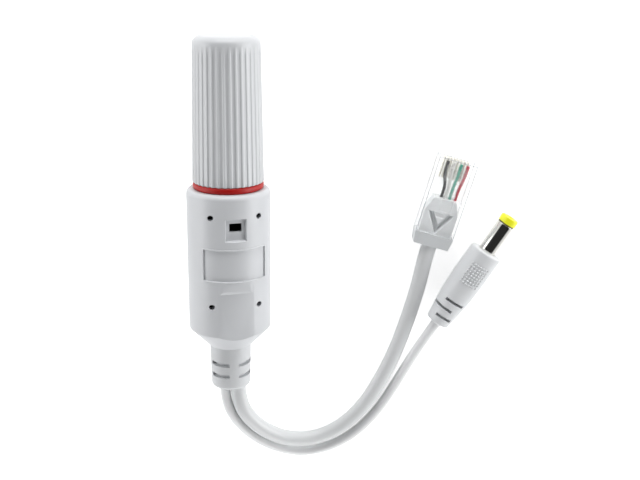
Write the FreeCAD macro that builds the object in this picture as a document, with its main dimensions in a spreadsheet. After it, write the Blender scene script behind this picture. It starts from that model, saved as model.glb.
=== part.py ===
import FreeCAD, Part
import Sketcher
import math
import os

# An in-line network power splitter: a round housing with a screw cap over its socket,
# and two short cords, one to a clear eight-way data plug and one to a round power plug.
# Lengths are millimetres. +Z is up, +Y runs along the body towards the screw cap, and the
# origin is on the surface that the body lies on, under the middle of its length.

DRIVING_SIZES = {
    # lie of the body
    "relief_end": -51.65,
    "roll_angle": 15,
    # housing
    "housing_radius": 12,
    "housing_wall": 2,
    "housing_edge": 0.6,
    "shoulder_edge": 1.5,
    "cone_length": 5.85,
    "cone_end_radius": 6.3,
    "throat_radius": 5,
    "throat_length": 2.2,
    "floor_radius": 6.8,
    "flat_depth": 1.04,
    "flat_length": 12.9,
    "ramp_length": 1.8,
    "label_height": 9.1,
    "label_depth": 0.4,
    "label_angle": 94,
    "label_drop": 20.15,
    "window_drop": 9.75,
    "window_width": 6.3,
    "window_height": 6.7,
    "window_depth": 1.1,
    "window_slope": 0.4,
    "window_hole_width": 3.5,
    "window_hole_height": 2.4,
    "window_hole_rise": 0.7,
    "pin_hole_radius": 0.8,
    "pin_hole_half_spacing": 6.75,
    "pin_hole_upper_drop": 6.3,
    "pin_hole_lower_drop": 32.45,
    "pin_hole_depth": 5.5,
    # screw cap and its seal
    "seal_height": 1.9,
    "seal_inner_radius": 8.15,
    "seal_outer_radius": 10.1,
    "seal_edge": 0.7,
    "cap_length": 40.6,
    "cap_rim_radius": 10.15,
    "cap_top_radius": 9.45,
    "cap_bore_radius": 8.45,
    "cap_bore_top_radius": 7.8,
    "cap_end_wall": 2,
    "cap_edge": 1.8,
    "rib_count": 36,
    "rib_groove_depth": 0.32,
    "rib_groove_width": 0.7,
    "rib_end_gap": 2.2,
    "cap_bore_lead": 1,
    # threaded neck
    "neck_radius": 8.1,
    "neck_length": 9.4,
    "neck_edge": 0.4,
    "flange_length": 3,
    "fit_gap": 0.05,
    # socket
    "jack_width": 13,
    "jack_height": 9.6,
    "jack_corner": 1.5,
    "jack_length": 23,
    "jack_floor": 0.7,
    "socket_width": 12,
    "socket_height": 6.8,
    "socket_depth": 13.5,
    "latch_slot_width": 6.2,
    "latch_slot_depth": 1.5,
    "contact_count": 8,
    "contact_pitch": 1.02,
    "contact_width": 0.45,
    "contact_thickness": 0.25,
    "contact_foot": 2.2,
    "contact_tip_rise": 0.45,
    "contact_bend_inset": 2.2,
    "contact_spring": 6.5,
    # circuit board and what it carries
    "lead_room": 6.05,
    "parts_gap": 0.8,
    "board_length": 24,
    "board_thickness": 1.2,
    "coil_width": 4.6,
    "coil_length": 6.4,
    "coil_height": 4.9,
    "core_width": 7.5,
    "core_length": 4.2,
    "core_height": 8,
    "core_leg_radius": 1.4,
    "bobbin_base": 1.2,
    "magnetics_width": 6,
    "magnetics_length": 7,
    "magnetics_height": 4,
    "magnetics_leads": 6,
    "lead_thickness": 0.3,
    "lead_reach": 1.2,
    "input_capacitor_radius": 1.8,
    "input_capacitor_length": 7,
    "can_edge": 0.4,
    "side_parts_inset": 1.4,
    "output_capacitor_radius": 1.4,
    "output_capacitor_height": 5.5,
    "output_capacitor_drop": 11,
    "inductor_radius": 2.9,
    "inductor_height": 1.9,
    "inductor_flange": 0.4,
    "inductor_waist_radius": 2.3,
    "inductor_drop": 5,
    "bridge_width": 3.6,
    "bridge_length": 4.7,
    "bridge_height": 1.4,
    "bridge_spacing": 0.8,
    "bridge_count": 2,
    "bridge_inset": 3.2,
    "chip_width": 3.9,
    "chip_length": 4.9,
    "chip_height": 1.5,
    "diode_width": 2.6,
    "diode_length": 4.4,
    "diode_height": 2.2,
    "diode_drop": 5.5,
    "small_part_length": 1.4,
    "small_part_width": 0.8,
    "small_part_height": 0.6,
    "small_part_pitch": 1.9,
    "small_part_count": 5,
    "small_part_drop": 3,
    "lead_radius": 0.45,
    "lead_stub": 1.6,
    "lead_spacing": 1.6,
    "data_lead_count": 4,
    "data_lead_x": 3.4,
    "data_lead_pitch": 1.5,
    "power_lead_count": 2,
    "power_lead_x": -4,
    "power_lead_pitch": 1.8,
    # strain relief
    "relief_length": 13.35,
    "relief_top_radius": 6.1,
    "relief_low_radius": 5.75,
    "relief_edge": 1.15,
    "relief_flange_radius": 6.4,
    "relief_flange_length": 1.6,
    "relief_slot_height": 1.2,
    "relief_slot_angle": 62,
    "relief_slot_core": 4.7,
    "relief_slot_first": 5.2,
    "relief_slot_pitch": 3.7,
    "relief_slots_around": 4,
    # cords
    "data_cord_radius": 2.35,
    "power_cord_radius": 1.55,
    # clear data plug
    "data_plug_x": 59.02,
    "data_plug_y": -9.61,
    "data_plug_turn": -15.5,
    "plug_width": 11.68,
    "plug_height": 6.6,
    "plug_length": 23,
    "plug_wall": 0.8,
    "plug_cavity_depth": 11,
    "plug_edge": 0.25,
    "collar_length": 3.8,
    "collar_taper": 0.45,
    "insert_neck_width": 6.8,
    "insert_waist_drop": 4.2,
    "insert_round": 1,
    "wedge_width": 7.1,
    "wedge_length": 5.4,
    "wedge_depth": 1.3,
    "wedge_floor_width": 2.4,
    "wedge_floor_length": 2.3,
    "wedge_floor_start": 1.3,
    "wire_radius": 0.48,
    "wire_end_inset": 0.3,
    "wire_channel_height": 1.5,
    "blade_thickness": 0.32,
    "blade_length": 6.1,
    "blade_height": 2.7,
    "blade_recess": 0.3,
    "latch_width": 3.3,
    "latch_root_width": 5.9,
    "latch_thickness": 1,
    "latch_reach": 14,
    "latch_rise": 2.3,
    "latch_root_inset": 0.6,
    "latch_catch_length": 4.6,
    # round power plug
    "power_plug_x": 62.2,
    "power_plug_y": -33.5,
    "power_plug_turn": -31.5,
    "boot_radius": 5,
    "boot_shoulder_radius": 4.75,
    "boot_tail_radius": 3.6,
    "boot_length": 26.3,
    "boot_shoulder": 9.6,
    "boot_full": 16,
    "boot_edge": 0.6,
    "boot_slot_height": 0.9,
    "boot_slot_core": 2.2,
    "boot_slot_first": 2.2,
    "boot_slot_pitch": 2.9,
    "boot_short_slot_angle": 80,
    "boot_long_slot_angle": 125,
    "boot_slots_around": 2,
    "barrel_radius": 2.75,
    "barrel_bore": 2.35,
    "barrel_reach": 10.2,
    "barrel_seat": 6,
    "barrel_seat_step": 0.2,
    "insulator_ring_width": 0.35,
    "insulator_ring_step": 0.25,
    "tip_length": 2.1,
    "tip_edge": 0.3,
    "centre_radius": 1.3,
    "centre_bore": 1.05,
    "centre_recess": 0.4,
    # how far a cutter stands clear of the surface that it enters
    "clear_of_surface": 1,
}


class Size:
    """A value with the sheet expression that gives it, so that a formula is written once."""

    def __init__(self, text, value):
        self.text = text
        self.value = float(value)

    @staticmethod
    def of(other):
        return other if isinstance(other, Size) else Size(repr(other), other)

    def __add__(self, other):
        other = Size.of(other)
        return Size(f"({self.text} + {other.text})", self.value + other.value)

    def __sub__(self, other):
        other = Size.of(other)
        return Size(f"({self.text} - {other.text})", self.value - other.value)

    def __mul__(self, other):
        other = Size.of(other)
        return Size(f"({self.text} * {other.text})", self.value * other.value)

    def __truediv__(self, other):
        other = Size.of(other)
        return Size(f"({self.text} / {other.text})", self.value / other.value)

    def __neg__(self):
        return Size(f"(0 - {self.text})", -self.value)


ZERO = Size("0", 0)
# Share of the shorter run that an arc of a cord takes at its corner.
ARC_SHARE = 0.45

document = FreeCAD.newDocument("splitter")
sheet = document.addObject("Spreadsheet::Sheet", "sizes")
for row, (alias, number) in enumerate(DRIVING_SIZES.items(), start=1):
    sheet.set(f"A{row}", alias)
    sheet.set(f"B{row}", str(number))
    sheet.setAlias(f"B{row}", alias)
document.recompute()


def size(alias):
    return Size(f"sizes.{alias}", sheet.get(alias))


def root(value):
    return Size(f"sqrt({value.text})", math.sqrt(value.value))


# Heights along the body's axis, stacked from the strain relief's end to the cap's top.
relief_end = size("relief_end")
cone_end = relief_end + size("relief_length")
cavity_floor = cone_end + size("throat_length")
barrel_start = cone_end + size("cone_length")
relief_top = cavity_floor + size("relief_flange_length")
board_end = relief_top + size("lead_room")
jack_back = board_end + size("board_length")
neck_top = jack_back + size("jack_length")
shoulder = neck_top - size("neck_length")
cap_rim = shoulder + size("seal_height")
cap_top = cap_rim + size("cap_length")

# Radii and levels that several pieces share.
fit_gap = size("fit_gap")
housing_radius = size("housing_radius")
bore_radius = housing_radius - size("housing_wall")
socket_floor = size("jack_floor") - size("jack_height") / 2
board_top = socket_floor
board_bottom = board_top - size("board_thickness")
board_reach = bore_radius - fit_gap
board_half_width = root(board_reach * board_reach - board_bottom * board_bottom)
side_parts_x = board_half_width - size("side_parts_inset")
outside = size("clear_of_surface")


def room_beside(distance):
    """How far the round cavity reaches at that distance from its axis, less the gap that parts keep."""
    reach = bore_radius - size("parts_gap")
    return root(reach * reach - distance * distance)


MAIN_FRAME = FreeCAD.Placement(
    FreeCAD.Vector(0, 0, housing_radius.value),
    FreeCAD.Rotation(FreeCAD.Vector(0, 1, 0), size("roll_angle").value))
DATA_PLUG_FRAME = FreeCAD.Placement(
    FreeCAD.Vector(size("data_plug_x").value, size("data_plug_y").value, 0),
    FreeCAD.Rotation(FreeCAD.Vector(0, 0, 1), size("data_plug_turn").value))
POWER_PLUG_FRAME = FreeCAD.Placement(
    FreeCAD.Vector(size("power_plug_x").value, size("power_plug_y").value, size("boot_radius").value),
    FreeCAD.Rotation(FreeCAD.Vector(0, 0, 1), size("power_plug_turn").value))

sub_parts = []

# Which way each plane of a body faces along its own axis.
PLANE_FACES = {"XY_Plane": 1, "YZ_Plane": 1, "XZ_Plane": -1}
# The body's Y axis, as a sketch on each plane sees it.
LONG_AXIS = {"XY_Plane": "V_Axis", "YZ_Plane": "H_Axis"}
SKETCH_SWING = {"XY_Plane": (0, 1, 0), "YZ_Plane": (1, 0, 0), "XZ_Plane": (0, 0, 1)}


def new_body(name, frame):
    body = document.addObject("PartDesign::Body", name)
    body.Label = name
    body.Placement = frame
    body.AllowCompound = True
    sub_parts.append(body)
    return body


def origin_part(body, role):
    return next(item for item in body.Origin.OriginFeatures if item.Role == role)


def new_sketch(body, plane, level=ZERO, swing=0):
    """An empty sketch at a level along the plane's axis, swung about the body's Y axis."""
    sketch = body.newObject("Sketcher::SketchObject", "Sketch")
    sketch.AttachmentSupport = (origin_part(body, plane), [""])
    sketch.MapMode = "FlatFace"
    lift = level * PLANE_FACES[plane]
    turned = FreeCAD.Rotation(FreeCAD.Vector(*SKETCH_SWING[plane]), swing)
    sketch.AttachmentOffset = FreeCAD.Placement(FreeCAD.Vector(0, 0, lift.value), turned)
    if "sizes." in lift.text:
        sketch.setExpression("AttachmentOffset.Base.z", lift.text)
    return sketch


def hold_point(sketch, geometry, end, x, y):
    """Dimensions a point from the sketch's origin, or puts it on the axis where it lies on one."""
    for kind, axis, distance in (("DistanceX", -2, x), ("DistanceY", -1, y)):
        if distance.value == 0:
            sketch.addConstraint(Sketcher.Constraint("PointOnObject", geometry, end, axis))
            continue
        number = sketch.addConstraint(Sketcher.Constraint(kind, -1, 1, geometry, end, distance.value))
        if "sizes." in distance.text:
            sketch.setExpression(f"Constraints[{number}]", distance.text)


def draw_loop(sketch, corners):
    """A closed loop of lines through the corners."""
    corners = [(Size.of(x), Size.of(y)) for x, y in corners]
    points = [FreeCAD.Vector(x.value, y.value, 0) for x, y in corners]
    first = sketch.GeometryCount
    for start, end in zip(points, points[1:] + points[:1]):
        sketch.addGeometry(Part.LineSegment(start, end), False)
    for index, (x, y) in enumerate(corners):
        following = (index + 1) % len(corners)
        sketch.addConstraint(Sketcher.Constraint("Coincident", first + index, 2, first + following, 1))
        hold_point(sketch, first + index, 1, x, y)


def draw_circle(sketch, x, y, radius):
    x, y = Size.of(x), Size.of(y)
    middle = FreeCAD.Vector(x.value, y.value, 0)
    number = sketch.addGeometry(Part.Circle(middle, FreeCAD.Vector(0, 0, 1), radius.value), False)
    hold_point(sketch, number, 3, x, y)
    held = sketch.addConstraint(Sketcher.Constraint("Radius", number, radius.value))
    sketch.setExpression(f"Constraints[{held}]", radius.text)


def draw_rounded_box(sketch, width, height, corner):
    """A box about the sketch's origin, its sides tangent to the arcs at its corners."""
    half_x, half_y = width / 2, height / 2
    arc_x, arc_y = half_x - corner, half_y - corner
    sides = [((-arc_x, -half_y), (arc_x, -half_y)), ((half_x, -arc_y), (half_x, arc_y)),
             ((arc_x, half_y), (-arc_x, half_y)), ((-half_x, arc_y), (-half_x, -arc_y))]
    centres = [(arc_x, -arc_y), (arc_x, arc_y), (-arc_x, arc_y), (-arc_x, -arc_y)]
    for side in sides:
        start, end = (FreeCAD.Vector(x.value, y.value, 0) for x, y in side)
        sketch.addGeometry(Part.LineSegment(start, end), False)
    for index, (x, y) in enumerate(centres):
        middle = FreeCAD.Vector(x.value, y.value, 0)
        circle = Part.Circle(middle, FreeCAD.Vector(0, 0, 1), corner.value)
        start_angle = (index - 1) * math.pi / 2
        arc = sketch.addGeometry(Part.ArcOfCircle(circle, start_angle, start_angle + math.pi / 2), False)
        hold_point(sketch, arc, 3, x, y)
        held = sketch.addConstraint(Sketcher.Constraint("Radius", arc, corner.value))
        sketch.setExpression(f"Constraints[{held}]", corner.text)
        sketch.addConstraint(Sketcher.Constraint("Tangent", index, 2, arc, 1))
        sketch.addConstraint(Sketcher.Constraint("Tangent", arc, 2, (index + 1) % len(sides), 1))


def outline(body, plane, corners, level=ZERO, swing=0):
    sketch = new_sketch(body, plane, level, swing)
    draw_loop(sketch, corners)
    return sketch


def plane_of(sketch):
    return sketch.AttachmentSupport[0][0].Role


def feature(body, kind, sketch):
    made = body.newObject(f"PartDesign::{kind}", kind)
    made.Profile = sketch
    sketch.Visibility = False
    return made


def extrude(body, kind, sketch, length, towards):
    """A Pad or Pocket from the sketch, towards +1 or -1 along its plane's axis, or both ways at 0."""
    made = feature(body, kind, sketch)
    made.Length = length.value
    made.setExpression("Length", length.text)
    if towards == 0:
        made.SideType = "Symmetric"
        return made
    forward = PLANE_FACES[plane_of(sketch)] * (1 if kind == "Pad" else -1)
    made.Reversed = towards != forward
    return made


def pad(body, sketch, length, towards=1):
    return extrude(body, "Pad", sketch, length, towards)


def pocket(body, sketch, length, towards=-1):
    return extrude(body, "Pocket", sketch, length, towards)


def spin(body, kind, sketch, angle=None):
    """A Revolution or Groove about the body's Y axis, whole, or spread evenly about the sketch."""
    made = feature(body, kind, sketch)
    made.ReferenceAxis = (sketch, [LONG_AXIS[plane_of(sketch)]])
    made.Angle = 360
    if angle is not None:
        made.Midplane = True
        made.setExpression("Angle", angle.text)
    return made


def loft(body, kind, first, last):
    made = feature(body, kind, first)
    made.Sections = [last]
    made.Ruled = True
    last.Visibility = False
    return made


def finish_pattern(body, made, originals, occurrences):
    made.Originals = originals
    made.Occurrences = int(occurrences.value)
    made.setExpression("Occurrences", occurrences.text)
    body.Tip = made
    return made


def polar(body, originals, occurrences):
    made = body.newObject("PartDesign::PolarPattern", "PolarPattern")
    made.Axis = (origin_part(body, "Y_Axis"), [""])
    made.Angle = 360
    return finish_pattern(body, made, originals, occurrences)


def row_of(body, originals, axis, pitch, occurrences):
    made = body.newObject("PartDesign::LinearPattern", "LinearPattern")
    made.Direction = (origin_part(body, axis), [""])
    reach = pitch * (occurrences - 1)
    made.Length = reach.value
    made.setExpression("Length", reach.text)
    return finish_pattern(body, made, originals, occurrences)


def round_edges(body, radius, wanted):
    """Rounds the edges of the body so far for which wanted(edge) is true."""
    document.recompute()
    names = [f"Edge{number}" for number, edge in enumerate(body.Tip.Shape.Edges, start=1) if wanted(edge)]
    if not names:
        raise RuntimeError(f"{body.Label}: no edge to round")
    made = body.newObject("PartDesign::Fillet", "Fillet")
    made.Base = (made.BaseFeature or body.Tip, names)
    made.Radius = radius.value
    made.setExpression("Radius", radius.text)
    body.Tip = made
    return made


def is_ring(edge, radius, level):
    """True for a circular edge of that radius about the body's axis, at that height along it."""
    curve = edge.Curve
    if not isinstance(curve, Part.Circle):
        return False
    middle = curve.Center
    return (abs(curve.Radius - radius.value) < 1e-3 and abs(middle.y - level.value) < 1e-3
            and math.hypot(middle.x, middle.z) < 1e-3)


def runs_along(edge, axis):
    """True for a straight edge along the axis, 0 for X, 1 for Y and 2 for Z."""
    if not isinstance(edge.Curve, Part.Line):
        return False
    return abs(abs(edge.Curve.Direction[axis]) - 1) < 1e-6


def box_corners(x_low, x_high, y_low, y_high):
    return [(x_low, y_low), (x_high, y_low), (x_high, y_high), (x_low, y_high)]


def centred(middle, width):
    return middle - width / 2, middle + width / 2


def block(body, x_range, y_range, bottom, height):
    """An upright block, its outline given in X and Y."""
    return pad(body, outline(body, "XY_Plane", box_corners(*x_range, *y_range), bottom), height)


def tube(points, radius, name):
    """A round tube along straight runs joined by tangent arcs, and the path's length."""
    edges = []
    run_start = points[0]
    for before, corner, after in zip(points, points[1:], points[2:]):
        into = corner - before
        out_of = after - corner
        turn = into.getAngle(out_of)
        cut = ARC_SHARE * min(into.Length, out_of.Length)
        arc_radius = cut / math.tan(turn / 2)
        arc_start = corner - into.normalize() * cut
        arc_end = corner + out_of.normalize() * cut
        inwards = ((arc_start + arc_end) / 2 - corner).normalize()
        arc_middle = corner + inwards * (arc_radius / math.cos(turn / 2) - arc_radius)
        edges.append(Part.LineSegment(run_start, arc_start).toShape())
        edges.append(Part.Arc(arc_start, arc_middle, arc_end).toShape())
        run_start = arc_end
        print(f"{name}: turn {math.degrees(turn):.1f} degrees, arc radius {arc_radius:.1f} mm")
    edges.append(Part.LineSegment(run_start, points[-1]).toShape())
    path = Part.Wire(edges)
    section = Part.Wire(Part.Circle(points[0], points[1] - points[0], radius).toShape())
    solid = path.makePipeShell([section], True, True)
    expected = math.pi * radius ** 2 * path.Length
    print(f"{name}: length {path.Length:.1f} mm, volume {solid.Volume:.1f} of {expected:.1f} mm3")
    if abs(solid.Volume - expected) > 0.01 * expected:
        raise RuntimeError(f"{name}: the tube's volume isn't its section times its length")
    return solid


def shaped_feature(name, shape, frame):
    made = document.addObject("Part::Feature", name)
    made.Label = name
    made.Shape = shape
    made.Placement = frame
    sub_parts.append(made)
    return made


# Screw cap, seal and housing.

def make_screw_cap():
    cap = new_body("screw_cap", MAIN_FRAME)
    rim_radius = size("cap_rim_radius")
    top_radius = size("cap_top_radius")
    bore_end = cap_top - size("cap_end_wall")
    profile = [
        (size("cap_bore_radius"), cap_rim), (rim_radius, cap_rim), (top_radius, cap_top), (ZERO, cap_top),
        (ZERO, bore_end), (size("cap_bore_top_radius"), bore_end),
        (size("cap_bore_radius"), neck_top + size("cap_bore_lead")),
    ]
    spin(cap, "Revolution", outline(cap, "XY_Plane", profile))
    round_edges(cap, size("cap_edge"), lambda edge: is_ring(edge, top_radius, cap_top))
    # One groove between two ribs follows the taper, and the ribs stop short of the rounded top.
    groove_end = cap_top - size("rib_end_gap")
    taper = (rim_radius - top_radius) / size("cap_length")
    end_radius = top_radius + taper * size("rib_end_gap")
    half_bottom = size("rib_groove_width") / 2
    sections = []
    for level, radius in ((cap_rim, rim_radius), (groove_end, end_radius)):
        floor = radius - size("rib_groove_depth")
        half_mouth = half_bottom + size("rib_groove_depth")
        mouth = radius + outside
        corners = [(-half_bottom, floor), (half_bottom, floor), (half_mouth, mouth), (-half_mouth, mouth)]
        sections.append(outline(cap, "XZ_Plane", corners, level))
    groove = loft(cap, "SubtractiveLoft", *sections)
    polar(cap, [groove], size("rib_count"))


def make_seal_ring():
    ring = new_body("seal_ring", MAIN_FRAME)
    inner, outer = size("seal_inner_radius"), size("seal_outer_radius")
    spin(ring, "Revolution", outline(ring, "XY_Plane", box_corners(inner, outer, shoulder, cap_rim)))
    round_edges(ring, size("seal_edge"), lambda edge: is_ring(edge, outer, shoulder) or is_ring(edge, outer, cap_rim))


def make_housing():
    housing = new_body("housing", MAIN_FRAME)
    throat = size("throat_radius")
    profile = [
        (bore_radius, shoulder), (housing_radius, shoulder), (housing_radius, barrel_start),
        (size("cone_end_radius"), cone_end), (throat, cone_end), (throat, cavity_floor),
        (size("floor_radius"), cavity_floor), (bore_radius, barrel_start + size("housing_wall") / 2),
    ]
    spin(housing, "Revolution", outline(housing, "XY_Plane", profile))
    round_edges(housing, size("shoulder_edge"), lambda edge: is_ring(edge, housing_radius, shoulder))
    round_edges(housing, size("housing_edge"), lambda edge: is_ring(edge, housing_radius, barrel_start))
    cut_front_flat(housing)
    cut_label_recess(housing)
    cut_window(housing)
    cut_pin_holes(housing)


def cut_front_flat(housing):
    """A flat along the lower front, with a short ramp down to it."""
    flat_top = barrel_start + size("flat_length")
    ramp_top = flat_top + size("ramp_length")
    flat_level = housing_radius - size("flat_depth")
    above = housing_radius + outside
    corners = [(ramp_top, housing_radius), (flat_top, flat_level), (cone_end - outside, flat_level),
               (cone_end - outside, above), (ramp_top, above)]
    pocket(housing, outline(housing, "YZ_Plane", corners), housing_radius * 2, 0)


def cut_label_recess(housing):
    """A shallow recess round the front, left plain."""
    middle = shoulder - size("label_drop")
    low, high = centred(middle, size("label_height"))
    floor = housing_radius - size("label_depth")
    sketch = outline(housing, "YZ_Plane", box_corners(low, high, floor, housing_radius + outside))
    spin(housing, "Groove", sketch, size("label_angle"))


def cut_window(housing):
    """A square pocket with sloping sides, and a smaller hole in its floor, over the back of the socket."""
    middle = shoulder - size("window_drop")
    width, height = size("window_width"), size("window_height")
    mouth = box_corners(*centred(ZERO, width), *centred(middle, height))
    narrowing = size("window_slope") * 2
    floor = box_corners(*centred(ZERO, width - narrowing), *centred(middle, height - narrowing))
    floor_level = housing_radius - size("window_depth")
    loft(housing, "SubtractiveLoft",
         outline(housing, "XY_Plane", mouth, housing_radius),
         outline(housing, "XY_Plane", floor, floor_level))
    hole = box_corners(*centred(ZERO, size("window_hole_width")),
                       *centred(middle + size("window_hole_rise"), size("window_hole_height")))
    pocket(housing, outline(housing, "XY_Plane", hole, housing_radius), size("housing_wall") + outside / 2)


def cut_pin_holes(housing):
    """The four holes that the mould's support pins leave in the front."""
    sketch = new_sketch(housing, "XY_Plane", housing_radius)
    for drop in (size("pin_hole_upper_drop"), size("pin_hole_lower_drop")):
        for side in (-1, 1):
            draw_circle(sketch, size("pin_hole_half_spacing") * side, shoulder - drop, size("pin_hole_radius"))
    pocket(housing, sketch, size("pin_hole_depth"))


def make_threaded_collar():
    collar = new_body("threaded_collar", MAIN_FRAME)
    flange_radius = bore_radius - fit_gap
    neck = size("neck_radius")
    flange_bottom = shoulder - size("flange_length")
    profile = [(ZERO, flange_bottom), (flange_radius, flange_bottom), (flange_radius, shoulder),
               (neck, shoulder), (neck, neck_top), (ZERO, neck_top)]
    spin(collar, "Revolution", outline(collar, "XY_Plane", profile))
    round_edges(collar, size("neck_edge"), lambda edge: is_ring(edge, neck, neck_top))
    hole = new_sketch(collar, "XZ_Plane", neck_top)
    draw_rounded_box(hole, size("jack_width") + fit_gap * 2, size("jack_height") + fit_gap * 2,
                     size("jack_corner") + fit_gap)
    pocket(collar, hole, size("neck_length") + size("flange_length"), -1)


# Socket, its contacts and the circuit board.

def make_jack_housing():
    jack = new_body("jack_housing", MAIN_FRAME)
    section = new_sketch(jack, "XZ_Plane", neck_top)
    draw_rounded_box(section, size("jack_width"), size("jack_height"), size("jack_corner"))
    pad(jack, section, size("jack_length"), -1)
    socket_top = socket_floor + size("socket_height")
    socket = box_corners(*centred(ZERO, size("socket_width")), socket_floor, socket_top)
    pocket(jack, outline(jack, "XZ_Plane", socket, neck_top), size("socket_depth"), -1)
    latch = box_corners(*centred(ZERO, size("latch_slot_width")), socket_top, socket_top + size("latch_slot_depth"))
    pocket(jack, outline(jack, "XZ_Plane", latch, neck_top), size("socket_depth"), -1)
    slot_width = size("contact_pitch") * size("contact_count")
    slot_top = socket_floor + size("contact_thickness") + fit_gap
    slot = box_corners(*centred(ZERO, slot_width), socket_floor, slot_top)
    pocket(jack, outline(jack, "XZ_Plane", slot, jack_back), size("jack_length") - size("socket_depth"), 1)


def make_jack_contacts():
    contacts = new_body("jack_contacts", MAIN_FRAME)
    thickness = size("contact_thickness")
    rise = size("contact_tip_rise")
    foot_end = jack_back - size("contact_foot")
    bend = neck_top - size("contact_bend_inset")
    spring_end = bend - size("contact_spring")
    strip_top = socket_floor + thickness
    profile = [
        (foot_end, socket_floor), (bend, socket_floor), (bend, strip_top),
        (spring_end, strip_top + rise), (spring_end, strip_top + rise - thickness / 2),
        (bend - size("contact_spring") / 3, strip_top), (foot_end, strip_top),
    ]
    first = -size("contact_pitch") * (size("contact_count") - 1) / 2 - size("contact_width") / 2
    strip = pad(contacts, outline(contacts, "YZ_Plane", profile, first), size("contact_width"))
    row_of(contacts, [strip], "X_Axis", size("contact_pitch"), size("contact_count"))


def make_circuit_board():
    board = new_body("circuit_board", MAIN_FRAME)
    block(board, (-board_half_width, board_half_width), (board_end, jack_back), board_bottom, size("board_thickness"))


# Places on the board: the lying can against the cavity's right side, the power transformer midway
# between the can and the left side, and midway between the board's end and the data transformer.
core_bottom = board_top + size("bobbin_base") + fit_gap
core_top = core_bottom + size("core_height")
can_radius = size("input_capacitor_radius")
can_centre_reach = room_beside(ZERO) - can_radius
can_x = root(can_centre_reach * can_centre_reach - (board_top + can_radius) * (board_top + can_radius))
magnetics_reach = size("magnetics_length") / 2 + size("lead_reach")
magnetics_y = jack_back - size("contact_foot") - size("parts_gap") - magnetics_reach
transformer_x = (can_x - can_radius - room_beside(core_top)) / 2
transformer_y = (board_end + magnetics_y - magnetics_reach) / 2
output_capacitor_y = jack_back - size("output_capacitor_drop")


def make_power_transformer():
    """A bobbin: its foot on the board, and the wound coil that the core goes through."""
    bobbin = new_body("power_transformer", MAIN_FRAME)
    coil_bottom = core_bottom + (size("core_height") - size("coil_height")) / 2
    wide = centred(transformer_x, size("coil_width"))
    long = centred(transformer_y, size("coil_length"))
    block(bobbin, wide, long, coil_bottom, size("coil_height"))
    core_near, core_far = centred(transformer_y, size("core_length") + fit_gap * 2)
    for y_range in ((long[0], core_near), (core_far, long[1])):
        block(bobbin, wide, y_range, board_top, coil_bottom - board_top)
    block(bobbin, wide, long, board_top, size("bobbin_base"))
    hole = new_sketch(bobbin, "XY_Plane", coil_bottom)
    draw_circle(hole, transformer_x, transformer_y, size("core_leg_radius") + fit_gap)
    pocket(bobbin, hole, size("coil_height"), 1)


def make_transformer_core():
    """Two yokes, two outer legs and a round centre leg, as its two halves make when glued."""
    core = new_body("transformer_core", MAIN_FRAME)
    yoke = (size("core_height") - size("coil_height")) / 2 - fit_gap
    section = new_sketch(core, "XZ_Plane", transformer_y + size("core_length") / 2)
    draw_loop(section, box_corners(*centred(transformer_x, size("core_width")), core_bottom, core_top))
    window = centred(transformer_x, size("coil_width") + fit_gap * 2)
    draw_loop(section, box_corners(*window, core_bottom + yoke, core_top - yoke))
    pad(core, section, size("core_length"), -1)
    leg = new_sketch(core, "XY_Plane", core_bottom + yoke)
    draw_circle(leg, transformer_x, transformer_y, size("core_leg_radius"))
    pad(core, leg, size("core_height") - yoke * 2)


def make_data_transformer():
    """A flat moulded package with a row of leads out of each long side."""
    package = new_body("data_transformer", MAIN_FRAME)
    lead_top = board_top + size("lead_thickness")
    block(package, centred(ZERO, size("magnetics_width")), centred(magnetics_y, size("magnetics_length")),
          lead_top, size("magnetics_height") - size("lead_thickness"))
    count = size("magnetics_leads")
    pitch = size("magnetics_width") / count
    first = -pitch * (count - 1) / 2
    lead = block(package, centred(first, pitch / 2), centred(magnetics_y, magnetics_reach * 2),
                 board_top, size("lead_thickness"))
    row_of(package, [lead], "X_Axis", pitch, count)


def make_input_capacitor():
    """A can that lies beside the transformer, midway between the board's end and the upright can."""
    can = new_body("input_capacitor", MAIN_FRAME)
    length = size("input_capacitor_length")
    free_end = output_capacitor_y - size("output_capacitor_radius")
    sketch = new_sketch(can, "XZ_Plane", (board_end + free_end + length) / 2)
    draw_circle(sketch, can_x, board_top + can_radius, can_radius)
    pad(can, sketch, length, -1)
    round_edges(can, size("can_edge"), lambda edge: isinstance(edge.Curve, Part.Circle))


def make_output_capacitor():
    can = new_body("output_capacitor", MAIN_FRAME)
    sketch = new_sketch(can, "XY_Plane", board_top)
    draw_circle(sketch, side_parts_x, output_capacitor_y, size("output_capacitor_radius"))
    pad(can, sketch, size("output_capacitor_height"))
    round_edges(can, size("can_edge"), lambda edge: isinstance(edge.Curve, Part.Circle))


def make_rectifier_diode():
    diode = new_body("rectifier_diode", MAIN_FRAME)
    block(diode, centred(side_parts_x, size("diode_width")),
          centred(jack_back - size("diode_drop"), size("diode_length")), board_top, size("diode_height"))


def make_power_inductor():
    """A drum: two flanges with the winding between them, hung under the board."""
    drum = new_body("power_inductor", MAIN_FRAME)
    flange = size("inductor_flange")
    waist = size("inductor_height") - flange * 2
    middle_y = jack_back - size("inductor_drop")
    top = board_bottom
    for radius, height in ((size("inductor_radius"), flange), (size("inductor_waist_radius"), waist),
                           (size("inductor_radius"), flange)):
        top = top - height
        sketch = new_sketch(drum, "XY_Plane", top)
        draw_circle(sketch, ZERO, middle_y, radius)
        pad(drum, sketch, height)


def make_bridge_rectifiers():
    pair = new_body("bridge_rectifiers", MAIN_FRAME)
    width = size("bridge_width")
    pitch = width + size("bridge_spacing")
    first = block(pair, centred(-pitch / 2, width), centred(board_end + size("bridge_inset"), size("bridge_length")),
                  board_bottom - size("bridge_height"), size("bridge_height"))
    row_of(pair, [first], "X_Axis", pitch, size("bridge_count"))


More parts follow.
